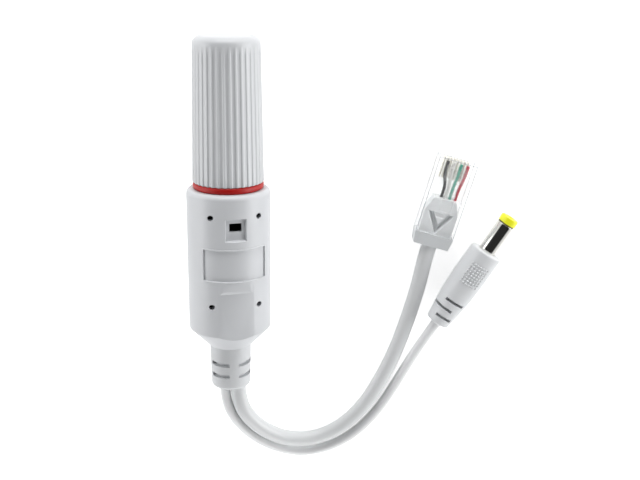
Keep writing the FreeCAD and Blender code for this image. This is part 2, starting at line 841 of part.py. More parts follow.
def make_controller_chip():
    """The chip under the board, midway between the rectifiers and the inductor."""
    chip = new_body("controller_chip", MAIN_FRAME)
    bridge_end = board_end + size("bridge_inset") + size("bridge_length") / 2
    inductor_start = jack_back - size("inductor_drop") - size("inductor_radius")
    block(chip, centred(ZERO, size("chip_width")), centred((bridge_end + inductor_start) / 2, size("chip_length")),
          board_bottom - size("chip_height"), size("chip_height"))


def make_chip_components():
    """Small resistors and capacitors: a column on top and one on each side underneath."""
    parts = new_body("chip_components", MAIN_FRAME)
    long, wide, high = size("small_part_length"), size("small_part_width"), size("small_part_height")
    front_y = jack_back - size("small_part_drop")
    last_y = front_y - size("small_part_pitch") * (size("small_part_count") - 1)
    below = board_bottom - high
    places = ((-side_parts_x, board_top), (-side_parts_x, below), (side_parts_x, below))
    for middle_x, bottom in places:
        first = block(parts, centred(middle_x, long), centred(last_y, wide), bottom, high)
        row_of(parts, [first], "Y_Axis", size("small_part_pitch"), size("small_part_count"))


def make_leads(name, cord_end, count, board_x, board_pitch):
    """Wires in columns of two, from the cord's end inside the strain relief to the board's edge."""
    stub = size("lead_stub").value
    spacing = size("lead_spacing").value
    start_y = relief_top.value
    end_y = board_end.value
    end_z = ((board_top + board_bottom) / 2).value
    middle = MAIN_FRAME.inverse().multVec(FreeCAD.Vector(*cord_end))
    columns = count // 2
    wires = []
    for index in range(count):
        column, row = divmod(index, 2)
        x = middle.x + spacing * (column - (columns - 1) / 2)
        z = middle.z + spacing * (row - 1 / 2)
        end_x = board_x + board_pitch * (index - (count - 1) / 2)
        points = [FreeCAD.Vector(x, start_y, z), FreeCAD.Vector(x, start_y + stub, z),
                  FreeCAD.Vector(end_x, end_y - stub, end_z), FreeCAD.Vector(end_x, end_y, end_z)]
        wires.append(tube(points, size("lead_radius").value, f"{name} {index + 1}"))
    shaped_feature(name, Part.makeCompound(wires), MAIN_FRAME)


def make_strain_relief():
    relief = new_body("strain_relief", MAIN_FRAME)
    neck = size("throat_radius") - fit_gap
    low_radius = size("relief_low_radius")
    flange_radius = size("relief_flange_radius")
    profile = [(ZERO, relief_end), (low_radius, relief_end), (size("relief_top_radius"), cone_end),
               (neck, cone_end), (neck, cavity_floor), (flange_radius, cavity_floor),
               (flange_radius, relief_top), (ZERO, relief_top)]
    spin(relief, "Revolution", outline(relief, "XY_Plane", profile))
    round_edges(relief, size("relief_edge"), lambda edge: is_ring(edge, low_radius, relief_end))
    # Two rows of four slots, with a spine left at the front, the back and each side.
    slots = []
    for number in range(2):
        middle = cone_end - size("relief_slot_first") - size("relief_slot_pitch") * number
        corners = box_corners(size("relief_slot_core"), size("relief_top_radius") + outside,
                              *centred(middle, size("relief_slot_height")))
        section = outline(relief, "XY_Plane", corners, swing=45)
        slots.append(spin(relief, "Groove", section, size("relief_slot_angle")))
    polar(relief, slots, size("relief_slots_around"))


# Cords. Each route's points are chosen by hand from the photograph.

DATA_ROUTE = [
    (2.0, -51.65, 12.0), (2.3, -57.0, 11.9), (4.6, -63.0, 10.9), (9.5, -68.8, 8.7), (16.6, -73.4, 5.9),
    (25.2, -74.4, 3.6), (33.8, -70.8, 2.4), (40.8, -63.3, 2.4), (46.0, -54.0, 2.4), (50.5, -43.6, 2.4),
    (53.8, -32.6, 2.5), (56.4, -22.4, 2.9), (57.82, -13.91, 3.3), (59.02, -9.61, 3.3),
]
POWER_ROUTE = [
    (-2.1, -51.65, 12.0), (-1.9, -57.4, 11.8), (0.6, -64.1, 10.6), (5.7, -71.0, 7.9), (12.7, -76.8, 4.7),
    (21.3, -79.8, 2.4), (30.4, -78.2, 1.55), (38.8, -72.8, 1.55), (45.4, -65.0, 1.55), (50.2, -56.6, 1.7),
    (54.0, -48.6, 2.7), (58.0, -40.4, 4.3), (62.2, -33.5, 5.0),
]


def make_cord(name, route, radius):
    shaped_feature(name, tube([FreeCAD.Vector(*point) for point in route], radius.value, name), FreeCAD.Placement())


# Clear data plug: its own Y runs from the collar's back to the nose, with the latch on top.

plug_half_width = size("plug_width") / 2
collar_front = size("collar_length")
nose = collar_front + size("plug_length")
cavity_half_width = plug_half_width - size("plug_wall")
cavity_bottom = size("plug_wall")
cavity_top = size("plug_height") - size("plug_wall")
cavity_end = collar_front + size("plug_cavity_depth")
blade_top = size("blade_recess") + size("blade_height")
wire_level = blade_top + size("wire_radius") + fit_gap / 2


def make_plug_body():
    plug = new_body("plug_body", DATA_PLUG_FRAME)
    shell = box_corners(-plug_half_width, plug_half_width, ZERO, size("plug_height"))
    pad(plug, outline(plug, "XZ_Plane", shell, collar_front), size("plug_length"), 1)
    round_edges(plug, size("plug_edge"), lambda edge: runs_along(edge, 1) or (
        abs(edge.BoundBox.YMin - nose.value) < 1e-3 and abs(edge.BoundBox.YMax - nose.value) < 1e-3))
    cavity = box_corners(-cavity_half_width, cavity_half_width, cavity_bottom, cavity_top)
    pocket(plug, outline(plug, "XZ_Plane", cavity, collar_front), size("plug_cavity_depth"), 1)
    half_channel = size("contact_pitch") * size("contact_count") / 2
    channel = box_corners(-half_channel, half_channel, blade_top, blade_top + size("wire_channel_height"))
    channel_length = size("plug_length") - size("plug_cavity_depth") - size("plug_wall")
    pocket(plug, outline(plug, "XZ_Plane", channel, cavity_end), channel_length, 1)
    first = -size("contact_pitch") * (size("contact_count") - 1) / 2
    slot = box_corners(*centred(first, size("blade_thickness") + fit_gap * 2), ZERO, blade_top)
    cut = pocket(plug, outline(plug, "XZ_Plane", slot, nose), size("blade_length") + size("blade_recess"), -1)
    row_of(plug, [cut], "X_Axis", size("contact_pitch"), size("contact_count"))
    add_latch(plug)


def add_latch(plug):
    """The spring latch: hinged at the nose, it leans up towards the collar, with two shoulders."""
    top = size("plug_height")
    root_y = nose - size("latch_root_inset")
    tail_y = root_y - size("latch_reach")
    thick = size("latch_thickness")
    arm = [(root_y, top - thick / 2), (root_y, top + thick / 2), (root_y - thick, top + thick),
           (tail_y, top + size("latch_rise") + thick), (tail_y, top + size("latch_rise")),
           (root_y - thick * 2, top + thick / 4), (root_y - thick * 2, top - thick / 2)]
    pad(plug, outline(plug, "YZ_Plane", arm), size("latch_width"), 0)
    # The two shoulders follow the arm's slope for a short way behind the root.
    catch_high = root_y - thick
    catch_low = catch_high - size("latch_catch_length")
    lift = size("latch_rise") / (size("latch_reach") - thick) * size("latch_catch_length")
    catch = [(catch_high, top + thick / 4), (catch_high, top + thick), (catch_low, top + thick + lift),
             (catch_low, top + thick / 4 + lift)]
    pad(plug, outline(plug, "YZ_Plane", catch), size("latch_root_width"), 0)


def make_plug_contacts():
    blades = new_body("plug_contacts", DATA_PLUG_FRAME)
    blade_back = nose - size("blade_recess") - size("blade_length")
    profile = box_corners(blade_back, nose - size("blade_recess"), size("blade_recess"), blade_top)
    first = -size("contact_pitch") * (size("contact_count") - 1) / 2 - size("blade_thickness") / 2
    blade = pad(blades, outline(blades, "YZ_Plane", profile, first), size("blade_thickness"))
    row_of(blades, [blade], "X_Axis", size("contact_pitch"), size("contact_count"))


def make_plug_insert():
    """The collar behind the clear shell and the bell-shaped cord grip inside it."""
    insert = new_body("plug_insert", DATA_PLUG_FRAME)
    taper = size("collar_taper")
    back = box_corners(taper - plug_half_width, plug_half_width - taper, taper, size("plug_height") - taper)
    front = box_corners(-plug_half_width, plug_half_width, ZERO, size("plug_height"))
    loft(insert, "AdditiveLoft", outline(insert, "XZ_Plane", back),
         outline(insert, "XZ_Plane", front, collar_front))
    half = cavity_half_width - fit_gap
    neck_half = size("insert_neck_width") / 2
    waist = cavity_end - size("insert_waist_drop")
    bell_end = cavity_end - fit_gap
    bell = [(-half, collar_front), (half, collar_front), (half, waist), (neck_half, bell_end),
            (-neck_half, bell_end), (-half, waist)]
    bottom = cavity_bottom + fit_gap
    height = cavity_top - fit_gap - bottom
    pad(insert, outline(insert, "XY_Plane", bell, bottom), height)
    round_edges(insert, size("insert_round"), lambda edge: runs_along(edge, 2)
                and edge.BoundBox.YMin > (collar_front + outside).value)
    # A triangular recess in the top, its sides sloping down to a smaller floor.
    mouth_level = cavity_top - fit_gap
    mouth_tip = collar_front + fit_gap
    floor_tip = collar_front + size("wedge_floor_start")
    mouth = triangle(size("wedge_width"), mouth_tip, mouth_tip + size("wedge_length"))
    floor = triangle(size("wedge_floor_width"), floor_tip, floor_tip + size("wedge_floor_length"))
    loft(insert, "SubtractiveLoft", outline(insert, "XY_Plane", mouth, mouth_level),
         outline(insert, "XY_Plane", floor, mouth_level - size("wedge_depth")))


def triangle(width, tip_y, base_y):
    return [(-width / 2, base_y), (ZERO, tip_y), (width / 2, base_y)]


# Where each wire leaves the cord grip, as a share of half the grip's neck, and which contact it
# goes to, counted in contacts from the row's middle.
WIRE_PLACES = {"wire_red": (0.88, 3.5), "wire_green": (0.38, 1.5), "wire_white": (0, -0.5), "wire_black": (-0.35, -2.5)}


def make_plug_wire(name, share, place):
    """One wire from the cord grip to its contact."""
    start_x = size("insert_neck_width").value / 2 * share
    end_x = size("contact_pitch").value * place
    level = wire_level.value
    start_y = cavity_end.value
    end_y = (nose - size("plug_wall") - size("wire_end_inset")).value
    third = (end_y - start_y) / 3
    points = [FreeCAD.Vector(start_x, start_y, level), FreeCAD.Vector(start_x, start_y + third, level),
              FreeCAD.Vector(end_x, end_y - third, level), FreeCAD.Vector(end_x, end_y, level)]
    shaped_feature(name, tube(points, size("wire_radius").value, name), DATA_PLUG_FRAME)


# Round power plug: its own Y runs from the boot's tail to the tip.

boot_front = size("boot_length")
barrel_back = boot_front - size("barrel_seat")
barrel_end = boot_front + size("barrel_reach")
sleeve_end = barrel_end - size("insulator_ring_width")
tip_end = barrel_end + size("tip_length")


def make_dc_boot():
    boot = new_body("dc_boot", POWER_PLUG_FRAME)
    radius = size("boot_radius")
    seat_radius = size("barrel_radius") - size("barrel_seat_step") + fit_gap
    profile = [(ZERO, ZERO), (size("boot_tail_radius"), ZERO), (size("boot_shoulder_radius"), size("boot_shoulder")),
               (radius, size("boot_full")), (radius, boot_front), (seat_radius, boot_front),
               (seat_radius, barrel_back), (ZERO, barrel_back)]
    spin(boot, "Revolution", outline(boot, "XY_Plane", profile))
    round_edges(boot, size("boot_edge"), lambda edge: is_ring(edge, radius, boot_front)
                or is_ring(edge, size("boot_tail_radius"), ZERO))
    # Three rows of slots, the middle row longer and turned against the others.
    rows = ((0, "boot_short_slot_angle", 90), (1, "boot_long_slot_angle", 140), (2, "boot_short_slot_angle", 90))
    cuts = []
    for number, angle, swing in rows:
        low = size("boot_slot_first") + size("boot_slot_pitch") * number
        corners = box_corners(size("boot_slot_core"), radius + outside, low, low + size("boot_slot_height"))
        cuts.append(spin(boot, "Groove", outline(boot, "XY_Plane", corners, swing=-swing), size(angle)))
    polar(boot, cuts, size("boot_slots_around"))


def make_dc_sleeve():
    """The bright barrel, a little narrower where it sits in the boot."""
    sleeve = new_body("dc_sleeve", POWER_PLUG_FRAME)
    bore, radius = size("barrel_bore"), size("barrel_radius")
    seat_radius = radius - size("barrel_seat_step")
    profile = [(bore, barrel_back), (seat_radius, barrel_back), (seat_radius, boot_front), (radius, boot_front),
               (radius, sleeve_end), (bore, sleeve_end)]
    spin(sleeve, "Revolution", outline(sleeve, "XY_Plane", profile))


def make_dc_insulator():
    """A lining between barrel and centre contact, with a ring that shows between barrel and tip."""
    bush = new_body("dc_insulator", POWER_PLUG_FRAME)
    inner, outer = size("centre_radius") + fit_gap, size("barrel_bore") - fit_gap
    ring_radius = size("barrel_radius") - size("insulator_ring_step")
    profile = [(inner, barrel_back), (outer, barrel_back), (outer, sleeve_end), (ring_radius, sleeve_end),
               (ring_radius, barrel_end), (inner, barrel_end)]
    spin(bush, "Revolution", outline(bush, "XY_Plane", profile))


def make_dc_tip():
    tip = new_body("dc_tip", POWER_PLUG_FRAME)
    inner, outer = size("centre_radius") + fit_gap, size("barrel_radius")
    spin(tip, "Revolution", outline(tip, "XY_Plane", box_corners(inner, outer, barrel_end, tip_end)))
    round_edges(tip, size("tip_edge"), lambda edge: is_ring(edge, outer, tip_end))


def make_dc_centre_contact():
    contact = new_body("dc_centre_contact", POWER_PLUG_FRAME)
    radius, bore = size("centre_radius"), size("centre_bore")
    closed_end = barrel_back + size("barrel_seat") / 2
    mouth = tip_end - size("centre_recess")
    profile = [(ZERO, barrel_back), (radius, barrel_back), (radius, mouth), (bore, mouth),
               (bore, closed_end), (ZERO, closed_end)]
    spin(contact, "Revolution", outline(contact, "XY_Plane", profile))


make_screw_cap()
make_seal_ring()
make_housing()
make_threaded_collar()
make_jack_housing()
make_jack_contacts()
make_circuit_board()
make_power_transformer()
make_transformer_core()
make_data_transformer()
make_input_capacitor()
make_output_capacitor()
make_rectifier_diode()
make_power_inductor()
make_bridge_rectifiers()
make_controller_chip()
make_chip_components()
make_strain_relief()
make_leads("data_leads", DATA_ROUTE[0], DRIVING_SIZES["data_lead_count"],
           DRIVING_SIZES["data_lead_x"], DRIVING_SIZES["data_lead_pitch"])
make_leads("power_leads", POWER_ROUTE[0], DRIVING_SIZES["power_lead_count"],
           DRIVING_SIZES["power_lead_x"], DRIVING_SIZES["power_lead_pitch"])
make_cord("ethernet_cable", DATA_ROUTE, size("data_cord_radius"))
make_cord("power_cable", POWER_ROUTE, size("power_cord_radius"))
make_plug_body()
make_plug_contacts()
make_plug_insert()
for wire_name, (share, place) in WIRE_PLACES.items():
    make_plug_wire(wire_name, share, place)
make_dc_boot()
make_dc_sleeve()
make_dc_insulator()
make_dc_tip()
make_dc_centre_contact()
document.recompute()

failed = [item.Name for item in document.Objects if {"Invalid", "Error"} & set(item.State)]
if failed:
    raise RuntimeError(f"objects that failed: {failed}")
for item in sub_parts:
    if item.Shape.isNull() or not item.Shape.isValid() or not item.Shape.Solids:
        raise RuntimeError(f"{item.Label}: no valid solid")

os.makedirs("parts", exist_ok=True)
for item in sub_parts:
    item.Shape.exportStep(f"parts/{item.Label}.step")
print(f"{len(sub_parts)} sub-parts, {sum(len(item.Shape.Solids) for item in sub_parts)} solids")
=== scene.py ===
# %% [markdown]
# # A round power splitter and its two plugs
#
# The object lies on a white table: a plastic body with a ribbed screw cap, a red seal between
# them, and two short cords, one with a clear data plug and one with a round power plug.
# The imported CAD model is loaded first, and every visible piece is then built or finished around
# it. Everything is in metres in one shared frame, so nothing has to be fitted by eye.

import math

import bmesh
import bpy
import numpy as np
from mathutils import Matrix, Vector


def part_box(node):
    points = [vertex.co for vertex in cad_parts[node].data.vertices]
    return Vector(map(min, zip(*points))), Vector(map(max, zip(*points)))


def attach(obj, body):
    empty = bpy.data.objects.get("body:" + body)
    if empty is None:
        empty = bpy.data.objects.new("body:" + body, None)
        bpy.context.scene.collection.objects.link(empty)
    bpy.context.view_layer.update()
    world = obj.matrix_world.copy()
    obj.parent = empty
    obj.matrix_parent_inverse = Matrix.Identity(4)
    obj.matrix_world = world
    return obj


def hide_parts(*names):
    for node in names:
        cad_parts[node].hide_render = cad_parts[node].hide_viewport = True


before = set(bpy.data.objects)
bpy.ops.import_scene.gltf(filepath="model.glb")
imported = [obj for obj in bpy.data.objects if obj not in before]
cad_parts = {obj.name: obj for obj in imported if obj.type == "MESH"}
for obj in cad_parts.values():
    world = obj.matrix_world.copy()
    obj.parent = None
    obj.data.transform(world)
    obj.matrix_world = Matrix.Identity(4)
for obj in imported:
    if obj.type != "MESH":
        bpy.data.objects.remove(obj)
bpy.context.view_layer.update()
MM = 0.001

# %% [markdown]
# ## Camera
#
# A product photograph is nearly a view from above with a long lens. The focal length and the
# tilt follow from sizes that are known on the object, such as the width of the data plug, and
# from how its parallel edges draw together. The photograph's frame is 640 by 480.

# %% Camera
FRAME_WIDTH_PX = 640
FOCAL_PX = 980
SENSOR_MM = 36
CAMERA_TILT = math.radians(16.5)
CAMERA_ROLL = math.radians(0.75)
CAMERA_PLACE = Vector((0.0263, 0.0743, 0.2839))

camera_data = bpy.data.cameras.new("camera")
camera_data.sensor_width = SENSOR_MM
camera_data.lens = SENSOR_MM * FOCAL_PX / FRAME_WIDTH_PX
camera_data.clip_start = 0.01
camera = bpy.data.objects.new("camera", camera_data)
bpy.context.scene.collection.objects.link(camera)
camera.matrix_world = (Matrix.Translation(CAMERA_PLACE) @ Matrix.Rotation(-CAMERA_TILT, 4, "X")
                       @ Matrix.Rotation(CAMERA_ROLL, 4, "Z"))
bpy.context.scene.camera = camera
bpy.context.scene.view_settings.view_transform = "Standard"
print("lens in mm:", round(camera_data.lens, 2))

# %% [markdown]
# ## Cords
#
# Each cord is extruded PVC, stiff enough to keep an even bend. A NURBS curve gives that line:
# its control points pull the curve towards them without forcing it through them, so a few
# listed points give one smooth sweep. The order and the end points are set after the
# points are added, because a spline with no points can't take them.

# %% Routes of the two cords
DATA_CORD_DIAMETER = 0.0047
POWER_CORD_DIAMETER = 0.0031
DATA_ROUTE = [
    (0.0020, -0.05165, 0.0120), (0.0023, -0.0570, 0.0119), (0.0046, -0.0630, 0.0109),
    (0.0095, -0.0688, 0.0087), (0.0166, -0.0734, 0.0059), (0.0252, -0.0744, 0.0036),
    (0.0338, -0.0708, 0.0024), (0.0408, -0.0633, 0.0024), (0.0460, -0.0540, 0.0024),
    (0.0505, -0.0436, 0.0024), (0.0538, -0.0326, 0.0025), (0.0564, -0.0224, 0.0029),
    (0.05782, -0.01391, 0.0033), (0.05902, -0.00961, 0.0033),
]
POWER_ROUTE = [
    (-0.00196, -0.05165, 0.0120), (-0.00174, -0.0574, 0.0118), (0.0007, -0.0641, 0.0106),
    (0.0057, -0.0710, 0.0079), (0.0127, -0.0768, 0.0047), (0.0213, -0.0798, 0.0024),
    (0.0304, -0.0782, 0.00155), (0.0388, -0.0728, 0.00155), (0.0454, -0.0650, 0.00155),
    (0.0502, -0.0566, 0.0017), (0.0540, -0.0486, 0.0027), (0.0580, -0.0404, 0.0043),
    (0.0622, -0.0335, 0.0050),
]


def cord_along(name, route, diameter):
    """A round cord: a circle of radius = bevel depth * point radius carried along the spline.

    The points carry the cord's radius and the depth is 1, because the curve's box counts it.
    """
    curve = bpy.data.curves.new(name, "CURVE")
    curve.dimensions = "3D"
    spline = curve.splines.new("NURBS")
    spline.points.add(len(route) - 1)
    spline.points.foreach_set("co", np.c_[np.array(route), np.ones(len(route))].ravel())
    spline.points.foreach_set("radius", np.full(len(route), diameter / 2))
    spline.order_u = 3
    spline.use_endpoint_u = True
    curve.resolution_u = 10
    curve.bevel_depth = 1.0
    curve.bevel_resolution = 7
    curve.use_fill_caps = True
    cord = bpy.data.objects.new(name, curve)
    bpy.context.scene.collection.objects.link(cord)
    return cord


data_cord = cord_along("data_cord", DATA_ROUTE, DATA_CORD_DIAMETER)
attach(data_cord, "main")
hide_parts("ethernet_cable")
power_cord = cord_along("power_cord", POWER_ROUTE, POWER_CORD_DIAMETER)
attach(power_cord, "main")
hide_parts("power_cable")
print("route points:", len(DATA_ROUTE), "for the data cord,", len(POWER_ROUTE), "for the power cord")

# %% [markdown]
# ## From numbers to a mesh
#
# A shape here is a function of two parameters: the points of a grid are worked out as one numpy
# array, and neighbours in the grid are joined by four-sided faces. Merging points that fall on
# the same place closes a seam or a pole, and the faces are then turned outwards.

# %% Grids of points, their faces, and finished pieces
WELD_DISTANCE = 1e-7


def grid_mesh(name, points, close_columns=True, close_rows=False):
    """Faces between neighbours of a grid, or of a stack of grids, of points.

    The last column joins the first where the grid closes round, and so does the last row.
    """
    grids = points.reshape((-1,) + points.shape[-3:])
    count, rows, columns = grids.shape[:3]
    number = np.arange(count * rows * columns).reshape(count, rows, columns)
    if close_columns:
        number = np.concatenate([number, number[:, :, :1]], axis=2)
    if close_rows:
        number = np.concatenate([number, number[:, :1]], axis=1)
    corners = (number[:, :-1, :-1], number[:, 1:, :-1], number[:, 1:, 1:], number[:, :-1, 1:])
    faces = np.stack(corners, axis=-1).reshape(-1, 4)
    mesh = bpy.data.meshes.new(name)
    mesh.from_pydata(grids.reshape(-1, 3).tolist(), [], faces.tolist())
    shape = bmesh.new()
    shape.from_mesh(mesh)
    bmesh.ops.remove_doubles(shape, verts=shape.verts, dist=WELD_DISTANCE)
    bmesh.ops.recalc_face_normals(shape, faces=shape.faces)
    shape.to_mesh(mesh)
    shape.free()
    return mesh


def piece_from(name, mesh, body, material, replaced=(), sharp_degrees=40):
    """Puts a mesh into the scene, smooth but for edges sharper than an angle, and lets it ride."""
    mesh.polygons.foreach_set("use_smooth", np.ones(len(mesh.polygons), bool))
    mesh.set_sharp_from_angle(angle=math.radians(sharp_degrees))
    mesh.materials.clear()
    mesh.materials.append(material)
    piece = bpy.data.objects.new(name, mesh)
    bpy.context.scene.collection.objects.link(piece)
    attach(piece, body)
    if replaced:
        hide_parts(*replaced)
    print(name, "has", len(mesh.polygons), "faces")
    return piece


def merged_copy(node):
    """A copy of a CAD node's loose triangles with their shared corners merged."""
    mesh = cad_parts[node].data.copy()
    mesh.name = node + "_merged"
    if "custom_normal" in mesh.attributes:
        mesh.attributes.remove(mesh.attributes["custom_normal"])
    shape = bmesh.new()
    shape.from_mesh(mesh)
    bmesh.ops.remove_doubles(shape, verts=shape.verts, dist=WELD_DISTANCE * 10)
    shape.to_mesh(mesh)
    shape.free()
    return mesh


# %% [markdown]
# ## Frames of the three rigid groups
#
# The body lies rolled a little about its own axis, and each plug lies turned on the table.
# A shape is easiest to describe along its own axis, so each group has a rotation and an origin
# that carry its own millimetres into the shared frame.

# %% Body and power plug frames
BODY_ROLL = 15
POWER_PLUG_TURN = -31.5
POWER_PLUG_TAIL_MM = (62.2, -33.5, 5.0)

cap_low, cap_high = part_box("screw_cap")
body_axis_mm = (cap_low + cap_high) / 2 / MM
body_frame = (np.array(Matrix.Rotation(math.radians(BODY_ROLL), 3, "Y")),
              np.array((body_axis_mm.x, 0, body_axis_mm.z)))
power_plug_frame = (np.array(Matrix.Rotation(math.radians(POWER_PLUG_TURN), 3, "Z")),
                    np.array(POWER_PLUG_TAIL_MM))
print("body axis in mm: x", round(body_axis_mm.x, 2), "z", round(body_axis_mm.z, 2))


def carried(points, own_frame):
    """Points in a group's own millimetres: turned, moved to the group's origin, and in metres."""
    turn, origin = own_frame
    return (points @ turn.T + origin) * MM


def rounded(corners, radii, closed=False, steps=7):
    """A profile whose corners are arcs.

    An arc of radius r starts r / tan(half the corner's angle) from the corner, and its centre is
    r / sin(half the angle) along the line that halves the corner. A radius of 0 keeps the corner.
    """
    corners = np.array(corners, float)
    pieces = []
    for index, radius in enumerate(radii):
        corner = corners[index]
        if radius == 0 or (not closed and index in (0, len(corners) - 1)):
            pieces.append(corner[None])
            continue
        back = corners[index - 1] - corner
        ahead = corners[(index + 1) % len(corners)] - corner
        back, ahead = back / np.linalg.norm(back), ahead / np.linalg.norm(ahead)
        half = math.acos(np.clip(back @ ahead, -1, 1)) / 2
        middle = corner + (back + ahead) / np.linalg.norm(back + ahead) * radius / math.sin(half)
        start = corner + back * radius / math.tan(half) - middle
        end = corner + ahead * radius / math.tan(half) - middle
        sweep = math.pi - 2 * half
        share = np.linspace(0, 1, steps)[:, None]
        arc = (np.sin((1 - share) * sweep) * start + np.sin(share * sweep) * end) / math.sin(sweep)
        pieces.append(middle + arc)
    return np.vstack(pieces)


def revolved(profile, own_frame, segments=120, inset=None):
    """A profile of (radius, height) turned about the group's Y axis.

    x = r sin(angle), y = height, z = r cos(angle), where inset(angle, profile) takes from r.
    """
    angle = np.linspace(0, 2 * math.pi, segments, endpoint=False)[None]
    radius, height = profile[:, :1], profile[:, 1:]
    if inset is not None:
        radius = radius - inset(angle, radius, height)
    own_points = np.broadcast_arrays(radius * np.sin(angle), height, radius * np.cos(angle))
    return carried(np.stack(own_points, axis=-1), own_frame)


# %% [markdown]
# ## Colours and material nodes
#
# Colours are written as the hex values that a screen shows. Blender works in linear light, so
# one function turns them. One more function adds a node, sets it and links it.

# %% Colour and node helpers
def linear(hex_colour):
    """An sRGB hex value as linear RGBA: below 0.04045 divide by 12.92, else a 2.4 power curve."""
    parts = np.array([int(hex_colour[place:place + 2], 16) for place in (1, 3, 5)]) / 255
    low, high = parts / 12.92, ((parts + 0.055) / 1.055) ** 2.4
    return (*np.where(parts <= 0.04045, low, high), 1.0)


def add_node(tree, kind, settings=None, inputs=None, links=None):
    """Adds one node, sets its own settings and its input sockets, and links others into it."""
    node = tree.nodes.new(kind)
    for name, value in (settings or {}).items():
        setattr(node, name, value)
    for name, value in (inputs or {}).items():
        node.inputs[name].default_value = value
    for name, output in (links or {}).items():
        tree.links.new(output, node.inputs[name])
    return node


def new_material(name):
    """A material with an empty node tree, and that tree."""
    material = bpy.data.materials.new(name)
    material.use_nodes = True
    material.node_tree.nodes.clear()
    return material, material.node_tree


# %% [markdown]
# ## Moulded and extruded plastic
#
# Most of the object is plastic in different colours: ABS for the shell, soft PVC for the cords
# and their ends, silicone for the seal. Under soft light the eye tells them apart by gloss and
# by the mould's surface. A fine noise stands for the spark-eroded texture of the mould, drawn
# coarser than its real 0.05 mm so that it shows, a wide noise for faint uneven shade where the
# plastic flowed, and the same wide noise makes the gloss uneven, as handling does.

# %% Plastic
FLOW_MM = 9.0
MOULD_EDGE_MM = 0.12
GLOSS_SPREAD = 0.05
NOISE_LOW, NOISE_HIGH = 0.3, 0.7
JACKET_GRAIN_MM = 0.5


def plastic(name, shade, deep_shade, roughness, ior=1.53, grain_mm=0.22, grain_depth_mm=0.006):
    """Moulded plastic, its edges rounded by the mould's own small radius.

    Colour = deep shade + wide noise * (shade - deep shade), and the same noise, stretched from its
    usual low and high, moves the roughness by the gloss's spread to either side.
    """
    material, tree = new_material(name)
    place = add_node(tree, "ShaderNodeTexCoord").outputs["Object"]
    flow = add_node(tree, "ShaderNodeTexNoise", inputs={"Scale": 1 / (FLOW_MM * MM), "Detail": 3.0},
                    links={"Vector": place}).outputs["Fac"]
    colour = add_node(tree, "ShaderNodeMix", {"data_type": "RGBA"},
                      {6: linear(deep_shade), 7: linear(shade)}, {"Factor": flow})
    gloss = add_node(tree, "ShaderNodeMapRange", inputs={
        "From Min": NOISE_LOW, "From Max": NOISE_HIGH,
        "To Min": roughness - GLOSS_SPREAD, "To Max": roughness + GLOSS_SPREAD}, links={"Value": flow})
    grain = add_node(tree, "ShaderNodeTexNoise", inputs={"Scale": 1 / (grain_mm * MM), "Detail": 2.0},
                     links={"Vector": place})
    edge = add_node(tree, "ShaderNodeBevel", {"samples": 6}, inputs={"Radius": MOULD_EDGE_MM * MM})
    bump = add_node(tree, "ShaderNodeBump",
                    inputs={"Strength": 1.0, "Distance": grain_depth_mm * MM},
                    links={"Height": grain.outputs["Fac"], "Normal": edge.outputs["Normal"]})
    shader = add_node(tree, "ShaderNodeBsdfPrincipled", inputs={"IOR": ior}, links={
        "Base Color": colour.outputs[2], "Roughness": gloss.outputs["Result"],
        "Normal": bump.outputs["Normal"]})
    add_node(tree, "ShaderNodeOutputMaterial", links={"Surface": shader.outputs["BSDF"]})
    return material


shell_abs = plastic("moulded ABS, eroded texture", "#CED0D3", "#C6C8CB", 0.42, ior=1.54)
ribbed_abs = plastic("moulded ABS, polished ribs", "#CED0D2", "#C7C9CC", 0.36, ior=1.54,
                     grain_depth_mm=0.003)
red_silicone = plastic("moulded silicone, red", "#B61813", "#A6120E", 0.45, ior=1.41,
                       grain_depth_mm=0.002)
soft_pvc = plastic("moulded soft PVC, pale grey", "#D6D8DA", "#CED0D2", 0.5)
boot_pvc = plastic("moulded soft PVC, near white", "#DEE0E2", "#D6D8DA", 0.45)
jacket_pvc = plastic("extruded PVC jacket, pale grey", "#DEE0E1", "#D6D8D9", 0.38,
                     grain_mm=JACKET_GRAIN_MM, grain_depth_mm=0.004)
# The power cord's jacket is the data cord's pale grey painted lighter, to make up for the shade that
# the thicker data cord casts on it.
jacket_pvc_painted_lighter = plastic("extruded PVC jacket, pale grey painted lighter", "#F0F1F2", "#E8E9EA", 0.38,
                          grain_mm=JACKET_GRAIN_MM, grain_depth_mm=0.004)
grip_abs = plastic("moulded ABS, cord grip", "#D9DCDE", "#D1D4D6", 0.4, grain_depth_mm=0.003)
# The bell is the collar's ABS painted lighter, to make up for the shade that the clear shell casts on
# it.
grip_abs_painted_lighter = plastic("moulded ABS, cord grip, painted lighter in the shell", "#F6F8F9", "#EEF0F2", 0.4,
                   grain_depth_mm=0.003)
# Opaque grey for the shell's edge beads: a painted refraction line, not a colour of the clear plastic.
painted_edge_line = plastic("grey bead, painted refraction line", "#CAD0D4", "#C2C8CC", 0.2, grain_depth_mm=0.001)
yellow_pbt = plastic("moulded PBT, lemon yellow", "#FCFC30", "#F4F226", 0.34, ior=1.55,
                     grain_depth_mm=0.002)
black_pbt = plastic("moulded PBT, black", "#191A1C", "#121315", 0.42, ior=1.55)
laminate = plastic("glass laminate under green solder mask", "#17633A", "#115231", 0.3, ior=1.5)
ferrite = plastic("pressed ferrite", "#35363A", "#2B2C30", 0.6, grain_depth_mm=0.012)
wire_pvc = {
    "wire_red": plastic("wire PVC, red", "#C8203C", "#B81A34", 0.35, grain_depth_mm=0.001),
    "wire_green": plastic("wire PVC, green", "#0CA88C", "#0A967C", 0.35, grain_depth_mm=0.001),
    "wire_white": plastic("wire PVC, white", "#EDEDEA", "#E6E6E2", 0.35, grain_depth_mm=0.001),
    "wire_black": plastic("wire PVC, black", "#17181B", "#101114", 0.35, grain_depth_mm=0.001),
}
print("wires with a colour of their own:", ", ".join(wire_pvc))

